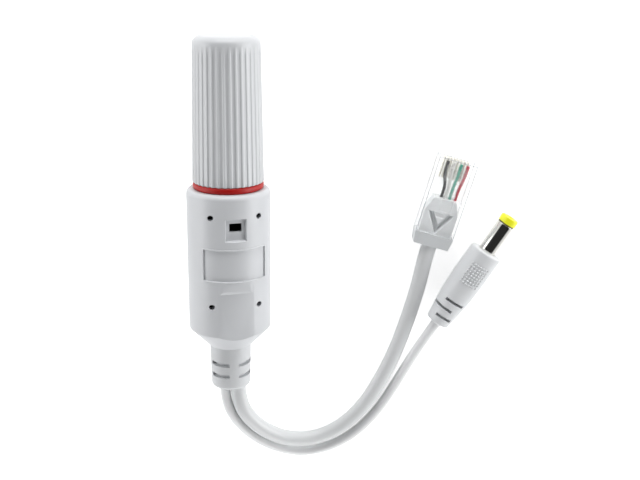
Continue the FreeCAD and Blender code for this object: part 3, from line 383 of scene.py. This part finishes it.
# %% [markdown]
# ## Plated metal and clear plastic
#
# The power plug's barrel is brass under bright nickel, turned on a lathe: the gloss is high, and
# turning leaves rings round the axis too fine to see one by one, so a faint noise in the
# roughness stands for them. The data plug is clear, polished polycarbonate. The index starts from
# its true 1.58 and is set lower here, with a low alpha, so that the wires behind its thin walls
# show about as they do in the photograph.

# %% Metal and clear plastic
WEAR_MM = 0.8
WEAR_LEAST, WEAR_MOST = 0.7, 1.4
RIPPLE_MM = 3
RIPPLE_DEPTH_MM = 0.02


def plated(name, colour_hex, roughness):
    """Plated metal: roughness = its own value times a share that a fine noise sets."""
    material, tree = new_material(name)
    place = add_node(tree, "ShaderNodeTexCoord").outputs["Object"]
    wear = add_node(tree, "ShaderNodeTexNoise", inputs={"Scale": 1 / (WEAR_MM * MM), "Detail": 4.0},
                    links={"Vector": place})
    gloss = add_node(tree, "ShaderNodeMapRange", inputs={
        "From Min": NOISE_LOW, "From Max": NOISE_HIGH,
        "To Min": roughness * WEAR_LEAST, "To Max": roughness * WEAR_MOST},
        links={"Value": wear.outputs["Fac"]})
    shader = add_node(tree, "ShaderNodeBsdfPrincipled",
                      inputs={"Base Color": linear(colour_hex), "Metallic": 1.0},
                      links={"Roughness": gloss.outputs["Result"]})
    add_node(tree, "ShaderNodeOutputMaterial", links={"Surface": shader.outputs["BSDF"]})
    return material


def clear_polycarbonate(name):
    """Clear plastic that lets light through and bends it, with a slow ripple in its surface."""
    material, tree = new_material(name)
    place = add_node(tree, "ShaderNodeTexCoord").outputs["Object"]
    ripple = add_node(tree, "ShaderNodeTexNoise", inputs={"Scale": 1 / (RIPPLE_MM * MM), "Detail": 1.0},
                      links={"Vector": place})
    bump = add_node(tree, "ShaderNodeBump",
                    inputs={"Strength": 0.4, "Distance": RIPPLE_DEPTH_MM * MM},
                    links={"Height": ripple.outputs["Fac"]})
    shader = add_node(tree, "ShaderNodeBsdfPrincipled", inputs={
        "Base Color": linear("#FCFEFE"), "Roughness": 0.05, "IOR": 1.3,
        "Transmission Weight": 0.7, "Alpha": 0.2}, links={"Normal": bump.outputs["Normal"]})
    add_node(tree, "ShaderNodeOutputMaterial", links={"Surface": shader.outputs["BSDF"]})
    return material


bright_nickel = plated("turned brass, bright nickel plate", "#D9D8D4", 0.12)
gold_plate = plated("stamped bronze, gold plate", "#DDB765", 0.24)
gold_flash = plated("stamped bronze, thin gold flash", "#FAF7EC", 0.55)
aluminium_can = plated("drawn aluminium can", "#C9CBCE", 0.38)
clear_pc = clear_polycarbonate("moulded clear polycarbonate")
for finish in (bright_nickel, gold_plate, gold_flash, aluminium_can, clear_pc):
    print("finish:", finish.name)

# %% [markdown]
# ## Screw cap
#
# The cap is a tapered cup with 36 ribs for grip. The profile of the wall is turned about the
# axis, and the grooves between the ribs are taken from the radius as a repeating trapezoid with
# soft sides. They run out just under the rounded top edge.

# %% Cap wall with ribs
RIB_COUNT = 36
POINTS_PER_RIB = 16
GROOVE_DEPTH_MM = 0.24
GROOVE_FLOOR_MM = 0.66
GROOVE_SIDE_MM = 0.32
GROOVE_END_GAP_MM = 2.9
GROOVE_RUN_OUT_MM = 1.6
CAP_RIM_BAND_MM = 1.0
CAP_RIM_DRAFT_MM = 0.01
CAP_RIM_EDGE_MM = 0.25
CAP_BORE_MM = 8.45
CAP_BORE_TOP_MM = 7.8
CAP_BORE_EDGE_MM = 0.6
CAP_BORE_LEAD_MM = 1
CAP_RUN_OUT_RADIUS_MM = 9.5
CAP_GROOVE_END_RADIUS_MM = 9.48
CAP_TOP_RADIUS_MM = 9.45
CAP_TOP_EDGE_MM = 2.2
CAP_END_WALL_MM = 2.0
CAP_SHARP_DEGREES = 50

neck_top_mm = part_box("threaded_collar")[1].y / MM
rim_mm = cap_low.y / MM
top_mm = cap_high.y / MM
rim_radius_mm = (cap_high.x - cap_low.x) / 2 / MM
groove_end_mm = top_mm - GROOVE_END_GAP_MM

cap_profile = rounded(
    [(CAP_BORE_MM, rim_mm), (rim_radius_mm, rim_mm),
     (rim_radius_mm - CAP_RIM_DRAFT_MM, rim_mm + CAP_RIM_BAND_MM),
     (CAP_RUN_OUT_RADIUS_MM, groove_end_mm - GROOVE_RUN_OUT_MM),
     (CAP_GROOVE_END_RADIUS_MM, groove_end_mm), (CAP_TOP_RADIUS_MM, top_mm), (0, top_mm)],
    [0, CAP_RIM_EDGE_MM, 0, 0, 0, CAP_TOP_EDGE_MM, 0])
cap_inside = rounded(
    [(0, top_mm - CAP_END_WALL_MM), (CAP_BORE_TOP_MM, top_mm - CAP_END_WALL_MM),
     (CAP_BORE_MM, neck_top_mm + CAP_BORE_LEAD_MM), (CAP_BORE_MM, rim_mm)],
    [0, CAP_BORE_EDGE_MM, 0, 0])


def grooves(angle, radius, height):
    """Depth of the grooves: full within the floor's width, none past the sides, smooth between."""
    pitch = 2 * math.pi / RIB_COUNT
    from_middle = np.abs((angle + pitch / 2) % pitch - pitch / 2) * radius
    rise = np.clip((GROOVE_FLOOR_MM / 2 + GROOVE_SIDE_MM - from_middle) / GROOVE_SIDE_MM, 0, 1)
    run_out = np.clip((groove_end_mm - height) / GROOVE_RUN_OUT_MM, 0, 1)
    on_the_outside = radius > (CAP_BORE_MM + CAP_TOP_RADIUS_MM) / 2
    return GROOVE_DEPTH_MM * rise * rise * (3 - 2 * rise) * run_out * on_the_outside


cap_outline = np.vstack([cap_profile, cap_inside])
cap_points = revolved(cap_outline, body_frame, RIB_COUNT * POINTS_PER_RIB, grooves)
piece_from("cap_wall", grid_mesh("cap_wall", cap_points, close_rows=True), "cap",
           ribbed_abs, replaced=["screw_cap"], sharp_degrees=CAP_SHARP_DEGREES)

# %% [markdown]
# ## Screw thread
#
# A thread is a small trapezoid carried along a helix. Turning by one full turn about +Y moves the
# cap by the pitch along +Y, which is a right-hand thread. The neck's ridge and the cap's ridge
# lie half a pitch apart, so they stay in mesh as the cap turns. Each ridge fades out at its ends.

# %% Ridges on the neck and in the cap
THREAD_PITCH_MM = 2.5
THREAD_TURNS = 2.0
THREAD_START_GAP_MM = 1.3
STEPS_PER_TURN = 72
NECK_RADIUS_MM = 8.1
RIDGE_MM = 0.24
RIDGE_SUNK_MM = 0.15
RIDGE_HALF_BASE_MM = 0.55
RIDGE_HALF_CREST_MM = 0.2
RIDGE_FADE = 0.7


def thread_ridge(name, base_radius, outwards, start_mm, material, body):
    """Radius = base + height of the trapezoid, height = start + pitch * turns done.

    Both sizes of the trapezoid grow from nothing over the fade's angle at either end.
    """
    angle = np.linspace(0, THREAD_TURNS * 2 * math.pi, int(THREAD_TURNS * STEPS_PER_TURN) + 1)[:, None]
    fade = np.clip(np.minimum(angle, angle[-1] - angle) / RIDGE_FADE, 0, 1)
    half_widths = [-RIDGE_HALF_BASE_MM, -RIDGE_HALF_CREST_MM, RIDGE_HALF_CREST_MM, RIDGE_HALF_BASE_MM]
    across = np.array(half_widths)[None] * fade
    up = np.array([-RIDGE_SUNK_MM, RIDGE_MM, RIDGE_MM, -RIDGE_SUNK_MM])[None] * fade
    radius = base_radius + up * (1 if outwards else -1)
    height = start_mm + THREAD_PITCH_MM * angle / (2 * math.pi) + across
    points = np.stack([radius * np.sin(angle), height, radius * np.cos(angle)], axis=-1)
    mesh = grid_mesh(name, carried(points, body_frame))
    piece_from(name, mesh, body, material)


thread_start_mm = rim_mm + THREAD_START_GAP_MM
thread_ridge("neck_thread", NECK_RADIUS_MM, True, thread_start_mm, shell_abs, "main")
thread_ridge("cap_thread", CAP_BORE_MM, False, thread_start_mm + THREAD_PITCH_MM / 2, ribbed_abs, "cap")

# %% [markdown]
# ## Seal
#
# A flat silicone ring with round outer edges, squeezed between the cap's rim and the shoulder.
# Its bore clears the ridge on the neck, over which it slides with the cap.

# %% Seal ring
SEAL_INNER_MM = 8.4
SEAL_EDGE_MM = 0.7
seal_low, seal_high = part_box("seal_ring")
seal_outer_mm = (seal_high.x - seal_low.x) / 2 / MM
seal_profile = rounded(
    [(SEAL_INNER_MM, seal_low.y / MM), (seal_outer_mm, seal_low.y / MM),
     (seal_outer_mm, seal_high.y / MM), (SEAL_INNER_MM, seal_high.y / MM)],
    [0, SEAL_EDGE_MM, SEAL_EDGE_MM, 0], closed=True)
seal_mesh = grid_mesh("seal_band", revolved(seal_profile, body_frame), close_rows=True)
piece_from("seal_band", seal_mesh, "seal", red_silicone, replaced=["seal_ring"])

# %% [markdown]
# ## Housing, neck and strain relief
#
# The CAD solids already have the window, the blank recess, the front flat and the slots. Their
# triangles come loose, so a merged copy is shaded smooth across the curved walls and stays
# sharp at true edges.

# %% Pieces with the CAD's own shape
FLAT_TOP_MM = -19.55
FLAT_LEVEL_MM = 10.96
RAMP_RISE_MM = 1.04
RAMP_LENGTH_MM = 1.8
RAMP_STRETCH = 1.5
ON_RAMP_MM = 0.01
PAST_EDGE_MM = 0.001
CAD_SHARP_DEGREES = 28


def soften_ramp(mesh):
    """Stretches the ramp down to the flat: length above the flat's top = old length * stretch."""
    turn, origin = body_frame
    places = np.empty(len(mesh.vertices) * 3)
    mesh.vertices.foreach_get("co", places)
    own = (places.reshape(-1, 3) / MM - origin) @ turn
    above_flat = own[:, 1] - FLAT_TOP_MM
    off_ramp = np.abs(own[:, 2] - FLAT_LEVEL_MM - above_flat * (RAMP_RISE_MM / RAMP_LENGTH_MM))
    on_ramp = (off_ramp < ON_RAMP_MM) & (above_flat > PAST_EDGE_MM) & (own[:, 2] > FLAT_LEVEL_MM)
    own[on_ramp, 1] += above_flat[on_ramp] * (RAMP_STRETCH - 1)
    mesh.vertices.foreach_set("co", carried(own, body_frame).ravel())
    print("ramp points moved:", int(on_ramp.sum()))
    return mesh


def cad_shaped(name, node, material, mend=None):
    """A piece with the shape of one CAD node, changed by the mend where there is one."""
    mesh = merged_copy(node)
    return piece_from(name, mend(mesh) if mend else mesh, "main", material, replaced=[node],
                      sharp_degrees=CAD_SHARP_DEGREES)


cad_shaped("housing_shell", "housing", shell_abs, soften_ramp)
cad_shaped("neck", "threaded_collar", shell_abs)
cad_shaped("cord_sleeve", "strain_relief", soft_pvc)
plug_shell = cad_shaped("plug_shell", "plug_body", clear_pc)
boot = cad_shaped("boot", "dc_boot", boot_pvc)

# %% [markdown]
# ## Cord grip in the clear plug
#
# The grip is a moulded block: a collar that stays outside the clear shell, and a bell inside it
# that narrows to the wires. The outline of each, half the width against the length, is carried
# as a section of one rectangle after another. The bell's top has a V-shaped groove: its depth
# follows from the distance to a triangle's sides.
# The shell's long edges and its front edges get a fine grey bead: a painted shade line that stands
# in for light bent in a moulded edge, which shows it as a thin grey line on white.

# %% Cord grip
PLUG_TURN = -15.5
PLUG_BACK_MM = (59.02, -9.61, 0.0)
COLLAR_LENGTH_MM = 3.8
COLLAR_TAPER_MM = 0.45
COLLAR_BACK_EDGE_MM = 0.25
COLLAR_FRONT_EDGE_MM = 0.2
PLUG_HALF_WIDTH_MM = 5.84
PLUG_HEIGHT_MM = 6.6
BELL_OVERLAP_MM = 0.1
BELL_START_MM = COLLAR_LENGTH_MM - BELL_OVERLAP_MM
BELL_HALF_WIDTH_MM = 4.99
BELL_NECK_MM = 3.4
BELL_WAIST_MM = 10.6
BELL_END_MM = 14.75
BELL_LEVELS_MM = (0.85, 5.75)
BELL_EDGE_MM = 1
GRIP_EDGE_MM = 0.12
GRIP_SHARP_DEGREES = 32
GROOVE_V_HALF_WIDTH_MM = 3.8
GROOVE_V_TIP_MM = 3.9
GROOVE_V_BASE_MM = 10.5
GROOVE_V_WIDTH_MM = 1.45
GROOVE_V_WALL_MM = 0.2
GROOVE_V_DEPTH_MM = 1.6
GROOVE_BASE_SHARE = 0.15
ROWS_PER_MM = 9

plug_frame = (np.array(Matrix.Rotation(math.radians(PLUG_TURN), 3, "Z")), np.array(PLUG_BACK_MM))


def v_groove(x, y):
    """Depth = full depth times the share of a wall's width that the nearer wall is away, at most 1.

    The groove along the triangle's base has a share of the depth of the two slanted ones.
    """
    slope = GROOVE_V_HALF_WIDTH_MM / (GROOVE_V_BASE_MM - GROOVE_V_TIP_MM)
    from_slanted = ((y - GROOVE_V_TIP_MM) * slope - np.abs(x)) / math.hypot(1, slope)
    from_base = GROOVE_V_BASE_MM - y
    inside = np.clip(np.minimum(from_slanted, from_base) / GROOVE_V_WALL_MM, 0, 1)
    to_floor_slanted = np.clip((GROOVE_V_WIDTH_MM - from_slanted) / GROOVE_V_WALL_MM, 0, 1)
    to_floor_base = np.clip((GROOVE_V_WIDTH_MM - from_base) / GROOVE_V_WALL_MM, 0, 1)
    deepest = np.maximum(to_floor_slanted, GROOVE_BASE_SHARE * to_floor_base)
    return GROOVE_V_DEPTH_MM * inside * deepest


def block_points(corners, radii, low_mm, high_mm, taper_mm=0.0, groove=None, across=72):
    """Rectangles of the outline's half width at each length between two levels, less the groove."""
    outline = rounded(corners, radii)
    gaps = np.hypot(*np.diff(outline, axis=0).T)
    counts = np.maximum(1, np.round(gaps * ROWS_PER_MM)).astype(int)
    stops = np.repeat(np.arange(len(gaps)), counts).astype(float)
    stops += np.concatenate([np.arange(count) / count for count in counts])
    stops = np.append(stops, len(gaps))[:, None]
    half_width = np.interp(stops, np.arange(len(outline)), outline[:, 0])
    length = np.interp(stops, np.arange(len(outline)), outline[:, 1])
    inset = np.clip(taper_mm * (1 - length / COLLAR_LENGTH_MM), 0, None)
    low = low_mm + inset
    high = high_mm - inset
    flat_half = np.clip(half_width - GRIP_EDGE_MM, 0, None)
    top_x = flat_half * np.linspace(-1, 1, across)
    top_z = high - (groove(top_x, length) if groove else 0 * top_x)
    ends = np.array([1, 1])
    upper_edge, lower_edge = high - GRIP_EDGE_MM, low + GRIP_EDGE_MM
    x = np.concatenate([top_x, half_width * ends, flat_half * [1, -1], -half_width * ends], axis=1)
    z = np.concatenate([top_z, upper_edge, lower_edge, low * ends, lower_edge, upper_edge], axis=1)
    return np.stack([x, np.broadcast_to(length, x.shape), z], axis=-1)


collar_points = block_points(
    [(0, 0), (PLUG_HALF_WIDTH_MM - COLLAR_TAPER_MM, 0), (PLUG_HALF_WIDTH_MM, COLLAR_LENGTH_MM),
     (0, COLLAR_LENGTH_MM)], [0, COLLAR_BACK_EDGE_MM, COLLAR_FRONT_EDGE_MM, 0],
    0, PLUG_HEIGHT_MM, taper_mm=COLLAR_TAPER_MM, across=12)
bell_points = block_points(
    [(0, BELL_START_MM), (BELL_HALF_WIDTH_MM, BELL_START_MM), (BELL_HALF_WIDTH_MM, BELL_WAIST_MM),
     (BELL_NECK_MM, BELL_END_MM), (0, BELL_END_MM)],
    [0, 0, BELL_EDGE_MM, BELL_EDGE_MM, 0], *BELL_LEVELS_MM, groove=v_groove)
collar_mesh = grid_mesh("grip_collar", carried(collar_points, plug_frame))
grip_collar = piece_from("grip_collar", collar_mesh, "main", grip_abs,
                         replaced=["plug_insert"], sharp_degrees=GRIP_SHARP_DEGREES)
# The bell takes the painted-lighter copy of the grip's ABS, against the shell's shade.
bell_mesh = grid_mesh("grip_bell", carried(bell_points, plug_frame))
grip_bell = piece_from("grip_bell", bell_mesh, "main", grip_abs_painted_lighter,
                       sharp_degrees=GRIP_SHARP_DEGREES)

# %% Beads along the shell's edges
SHELL_END_MM = 26.8
SHELL_BEAD_MM = 0.1
SHELL_BEAD_SUNK_MM = 0.2


def edge_beads(starts, ends, radius_mm, sides=6):
    """Point = place along the edge + radius * (one normal * cos(turn) + other normal * sin(turn))."""
    along = ends - starts
    along = along / np.linalg.norm(along, axis=1, keepdims=True)
    least = np.eye(3)[np.argmin(np.abs(along), axis=1)]
    normal = np.cross(along, least)
    other = np.cross(along, normal)
    turn = np.linspace(0, 2 * math.pi, sides, endpoint=False)
    cosine, sine = np.cos(turn)[None, :, None], np.sin(turn)[None, :, None]
    ring = normal[:, None] * cosine + other[:, None] * sine
    places = np.stack([starts, starts, ends, ends], axis=1)[:, :, None]
    sizes = radius_mm * np.array([0, 1, 1, 0])[None, :, None, None]
    return places + sizes * ring[:, None]


side_mm = PLUG_HALF_WIDTH_MM - SHELL_BEAD_SUNK_MM
low_mm, high_mm = SHELL_BEAD_SUNK_MM, PLUG_HEIGHT_MM - SHELL_BEAD_SUNK_MM
near_mm, far_mm = COLLAR_LENGTH_MM + SHELL_BEAD_SUNK_MM, SHELL_END_MM - SHELL_BEAD_SUNK_MM
far_corners = np.array([(-side_mm, far_mm, low_mm), (side_mm, far_mm, low_mm),
                        (side_mm, far_mm, high_mm), (-side_mm, far_mm, high_mm)])
bead_starts = np.vstack([far_corners, far_corners])
bead_ends = np.vstack([far_corners * [1, 0, 1] + [0, near_mm, 0], np.roll(far_corners, -1, axis=0)])
bead_points = carried(edge_beads(bead_starts, bead_ends, SHELL_BEAD_MM), plug_frame)
bead_mesh = grid_mesh("shell_edges", bead_points)
# The beads carry the painted refraction line of the clear shell's edges.
shell_edges = piece_from("shell_edges", bead_mesh, "main", painted_edge_line)

# %% [markdown]
# ## Lip round the blank recess
#
# The recess in the front of the housing has a small raised lip that catches the light. It is a
# half-round bead carried along a rounded rectangle, which is drawn flat and then wrapped round
# the housing: the angle is the flat distance divided by the radius.

# %% Recess lip
HOUSING_MM = 12.0
LABEL_HALF_ANGLE = math.radians(47)
LABEL_MIDDLE_MM = -11.0
LABEL_HALF_HEIGHT_MM = 4.55
LIP_HALF_WIDTH_MM = 0.2
LIP_HEIGHT_MM = 0.1
LIP_CORNER_MM = 0.5
LIP_POINTS = 420
LIP_SECTION_POINTS = 9
LIP_SUNK_ANGLE = 0.5


def recess_lip():
    """Point of the path + section, outwards = half width * cos, up = height * sin, wrapped round."""
    half = HOUSING_MM * LABEL_HALF_ANGLE + LIP_HALF_WIDTH_MM
    low = LABEL_MIDDLE_MM - LABEL_HALF_HEIGHT_MM - LIP_HALF_WIDTH_MM
    high = LABEL_MIDDLE_MM + LABEL_HALF_HEIGHT_MM + LIP_HALF_WIDTH_MM
    rectangle = [(-half, low), (half, low), (half, high), (-half, high)]
    corners = rounded(rectangle, [LIP_CORNER_MM] * 4, closed=True)
    closed = np.vstack([corners, corners[:1]])
    reached = np.concatenate([[0], np.cumsum(np.hypot(*np.diff(closed, axis=0).T))])
    stops = np.linspace(0, reached[-1], LIP_POINTS, endpoint=False)
    path = np.stack([np.interp(stops, reached, closed[:, part]) for part in (0, 1)], axis=-1)
    ahead = np.roll(path, -1, axis=0) - np.roll(path, 1, axis=0)
    ahead /= np.linalg.norm(ahead, axis=1, keepdims=True)
    outwards = np.stack([ahead[:, 1], -ahead[:, 0]], axis=-1)
    lean = np.linspace(-LIP_SUNK_ANGLE, math.pi + LIP_SUNK_ANGLE, LIP_SECTION_POINTS)
    flat = path[:, None] + outwards[:, None] * (LIP_HALF_WIDTH_MM * np.cos(lean))[None, :, None]
    radius = HOUSING_MM + LIP_HEIGHT_MM * np.sin(lean)[None]
    angle = flat[..., 0] / HOUSING_MM
    return np.stack([radius * np.sin(angle), flat[..., 1], radius * np.cos(angle)], axis=-1)


lip_mesh = grid_mesh("recess_lip", carried(recess_lip(), body_frame), close_rows=True)
piece_from("recess_lip", lip_mesh, "main", shell_abs)

# %% [markdown]
# ## Barrel, tip and grip of the power plug
#
# The barrel is a thin tube with rolled edges, seated in the boot. The black insulator that lines
# it keeps its CAD shape, and its rim shows as a dark ring under the yellow tip. The boot has a
# patch of small raised dots on its upper face for the fingers.

# %% Barrel and tip
BARREL_MM = 2.75
BARREL_SEAT_MM = 2.55
BARREL_BORE_MM = 2.35
BARREL_START_MM = 20.3
BOOT_FRONT_MM = 26.3
SLEEVE_END_MM = 36.15
BARREL_END_MM = 36.5
TIP_END_MM = 38.6
TIP_BORE_MM = 1.35
SLEEVE_BACK_EDGE_MM = 0.05
SLEEVE_ROLLED_EDGE_MM = 0.12
SLEEVE_INNER_EDGE_MM = 0.08
TIP_BACK_EDGE_MM = 0.1
TIP_NOSE_EDGE_MM = 0.4
TIP_BORE_EDGE_MM = 0.15
BARREL_SEGMENTS = 96
TIP_SEGMENTS = 72

tube_profile = rounded(
    [(BARREL_BORE_MM, BARREL_START_MM), (BARREL_SEAT_MM, BARREL_START_MM),
     (BARREL_SEAT_MM, BOOT_FRONT_MM), (BARREL_MM, BOOT_FRONT_MM),
     (BARREL_MM, SLEEVE_END_MM), (BARREL_BORE_MM, SLEEVE_END_MM)],
    [0, 0, 0, SLEEVE_BACK_EDGE_MM, SLEEVE_ROLLED_EDGE_MM, SLEEVE_INNER_EDGE_MM], closed=True)
barrel_points = revolved(tube_profile, power_plug_frame, BARREL_SEGMENTS)
barrel_mesh = grid_mesh("barrel", barrel_points, close_rows=True)
barrel = piece_from("barrel", barrel_mesh, "main", bright_nickel,
                    replaced=["dc_sleeve"])
tip_profile = rounded(
    [(TIP_BORE_MM, BARREL_END_MM), (BARREL_MM, BARREL_END_MM),
     (BARREL_MM, TIP_END_MM), (TIP_BORE_MM, TIP_END_MM)],
    [0, TIP_BACK_EDGE_MM, TIP_NOSE_EDGE_MM, TIP_BORE_EDGE_MM], closed=True)
tip_points = revolved(tip_profile, power_plug_frame, TIP_SEGMENTS)
tip_mesh = grid_mesh("yellow_tip", tip_points, close_rows=True)
yellow_tip = piece_from("yellow_tip", tip_mesh, "main", yellow_pbt,
                        replaced=["dc_tip"])

# %% Grip dots
BOOT_MM = 5.0
DOT_RADIUS_MM = 0.3
DOT_HEIGHT_MM = 0.34
DOT_SUNK_MM = 0.02
DOT_SUNK_ANGLE = 0.35
DOT_PITCH_MM = 0.92
DOT_ROWS = 8
DOT_COLUMNS = 7
DOT_RINGS = 5
DOT_SIDES = 10
PATCH_MIDDLE_MM = 18.8


def grip_dots():
    """Domes on a cylinder: each is a half ellipsoid whose base is sunk a little into the boot."""
    along = (np.arange(DOT_ROWS) - (DOT_ROWS - 1) / 2) * DOT_PITCH_MM + PATCH_MIDDLE_MM
    around = (np.arange(DOT_COLUMNS) - (DOT_COLUMNS - 1) / 2) * DOT_PITCH_MM / BOOT_MM
    along, around = (values.ravel()[:, None, None] for values in np.meshgrid(along, around))
    lean = np.linspace(0, math.pi / 2 + DOT_SUNK_ANGLE, DOT_RINGS)[None, :, None]
    spin = np.linspace(0, 2 * math.pi, DOT_SIDES, endpoint=False)[None, None, :]
    side = DOT_RADIUS_MM * np.sin(lean) * np.cos(spin)
    forward = DOT_RADIUS_MM * np.sin(lean) * np.sin(spin)
    rise = BOOT_MM - DOT_SUNK_MM + DOT_HEIGHT_MM * np.cos(lean) + 0 * spin
    x = rise * np.sin(around) + side * np.cos(around)
    z = rise * np.cos(around) - side * np.sin(around)
    return np.stack(np.broadcast_arrays(x, along + forward, z), axis=-1)


dots_mesh = grid_mesh("grip_dots", carried(grip_dots(), power_plug_frame))
dots = piece_from("grip_dots", dots_mesh, "main", boot_pvc)

# %% [markdown]
# ## Pieces that keep the CAD mesh
#
# What is inside the body, behind the clear plug's wall or in the barrel is the CAD solid itself,
# with a finish of its own.

# %% Finishes for the carried-over solids
cad_finishes = {
    "jack_housing": black_pbt, "jack_contacts": gold_plate, "circuit_board": laminate,
    "power_transformer": black_pbt, "transformer_core": ferrite, "data_transformer": black_pbt,
    "input_capacitor": aluminium_can, "output_capacitor": aluminium_can,
    "bridge_rectifiers": black_pbt, "controller_chip": black_pbt, "rectifier_diode": black_pbt,
    "power_inductor": ferrite, "chip_components": black_pbt,
    "data_leads": jacket_pvc, "power_leads": jacket_pvc, "plug_contacts": gold_flash,
    "dc_insulator": black_pbt, "dc_centre_contact": bright_nickel, **wire_pvc,
}
for node_name, finish in cad_finishes.items():
    node_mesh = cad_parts[node_name].data
    node_mesh.materials.clear()
    node_mesh.materials.append(finish)
# The power cord takes the painted-lighter jacket, against the data cord's shade.
for cord, jacket in ((data_cord, jacket_pvc), (power_cord, jacket_pvc_painted_lighter)):
    cord.data.materials.append(jacket)
print(len(cad_finishes), "carried-over nodes have a finish")

# %% [markdown]
# ## What hangs on the cords
#
# Each plug is fixed to the far end of its cord.

# %% [markdown]
# ## Table and light
#
# The photograph was taken on a white table among low soft lights. The table's colour and a
# glow that only the camera, mirrors and clear plastic see make it white without adding light to
# the object, and it still takes the object's soft shadow. The sky is bright near the horizon and
# dark overhead, where the camera and the ceiling are. So round bodies are lighter at their sides
# than along their middle, and the barrel mirrors the dark part as a stripe along its length.
# Four low softboxes, one on each side, even out the ends.

# %% Table
TABLE_HALF_WIDTH = 8
TABLE_GLOW = 0.7


def table_top():
    """The four corners of a level square at height 0."""
    corner = np.array([-1, 1]) * TABLE_HALF_WIDTH
    x, y = np.meshgrid(corner, corner)
    return np.stack([x, y, np.zeros_like(x)], axis=-1)


table_white, table_tree = new_material("matt white card")
rays = add_node(table_tree, "ShaderNodeLightPath").outputs
camera_or_mirror = add_node(table_tree, "ShaderNodeMath", {"operation": "MAXIMUM"},
                            links={0: rays["Is Camera Ray"], 1: rays["Is Glossy Ray"]})
seen = add_node(table_tree, "ShaderNodeMath", {"operation": "MAXIMUM"},
                links={0: camera_or_mirror.outputs[0], 1: rays["Is Transmission Ray"]})
glow = add_node(table_tree, "ShaderNodeMath", {"operation": "MULTIPLY"}, {1: TABLE_GLOW},
                {0: seen.outputs[0]})
lit = add_node(table_tree, "ShaderNodeBsdfDiffuse", inputs={"Color": linear("#F2F2F2")})
glowing = add_node(table_tree, "ShaderNodeEmission", links={"Strength": glow.outputs[0]})
both = add_node(table_tree, "ShaderNodeAddShader", links={0: lit.outputs[0], 1: glowing.outputs[0]})
add_node(table_tree, "ShaderNodeOutputMaterial", links={"Surface": both.outputs[0]})

table_mesh = grid_mesh("table", table_top(), close_columns=False)
table_mesh.materials.append(table_white)
table = bpy.data.objects.new("table", table_mesh)
bpy.context.scene.collection.objects.link(table)
print("table:", 2 * TABLE_HALF_WIDTH, "m square")

# %% Sky with a dark patch overhead
SKY_STRENGTH = 0.93
PATCH_STRENGTH = 0.03
PATCH_HEIGHT = 0.55
PATCH_SOFT_BELOW = 0.08
PATCH_SOFT_ABOVE = 0.06

sky = bpy.data.worlds.new("studio")
sky.use_nodes = True
sky_tree = sky.node_tree
sky_tree.nodes.clear()
direction = add_node(sky_tree, "ShaderNodeTexCoord").outputs["Generated"]
height = add_node(sky_tree, "ShaderNodeSeparateXYZ", links={"Vector": direction}).outputs["Z"]
brightness = add_node(sky_tree, "ShaderNodeMapRange", inputs={
    "From Min": PATCH_HEIGHT - PATCH_SOFT_BELOW, "From Max": PATCH_HEIGHT + PATCH_SOFT_ABOVE,
    "To Min": SKY_STRENGTH, "To Max": PATCH_STRENGTH}, links={"Value": height})
background = add_node(sky_tree, "ShaderNodeBackground", inputs={"Color": linear("#FFFFFF")},
                      links={"Strength": brightness.outputs["Result"]})
add_node(sky_tree, "ShaderNodeOutputWorld", links={"Surface": background.outputs[0]})
bpy.context.scene.world = sky
print("sky strength:", SKY_STRENGTH, "low,", PATCH_STRENGTH, "overhead")

# %% Soft lights
LIGHTS = {
    "right_softbox": {"place": (0.62, 0.02, 0.17), "watts": 2.2},
    "left_softbox": {"place": (-0.58, 0.0, 0.17), "watts": 1.4},
    "near_softbox": {"place": (0.03, -0.58, 0.26), "watts": 1.6},
    "far_softbox": {"place": (0.0, 0.6, 0.17), "watts": 2.4},
}
SOFTBOX_WIDTH, SOFTBOX_HEIGHT = 0.5, 0.3
LIGHT_TARGET = Vector((0.03, -0.01, 0.0))
for light_name, light in LIGHTS.items():
    lamp = bpy.data.lights.new(light_name, "AREA")
    lamp.shape = "RECTANGLE"
    lamp.size, lamp.size_y = SOFTBOX_WIDTH, SOFTBOX_HEIGHT
    lamp.energy = light["watts"]
    holder = bpy.data.objects.new(light_name, lamp)
    bpy.context.scene.collection.objects.link(holder)
    aim = (LIGHT_TARGET - Vector(light["place"])).to_track_quat("-Z", "Y").to_matrix().to_4x4()
    holder.matrix_world = Matrix.Translation(light["place"]) @ aim
    print(light_name, light["watts"], "W")
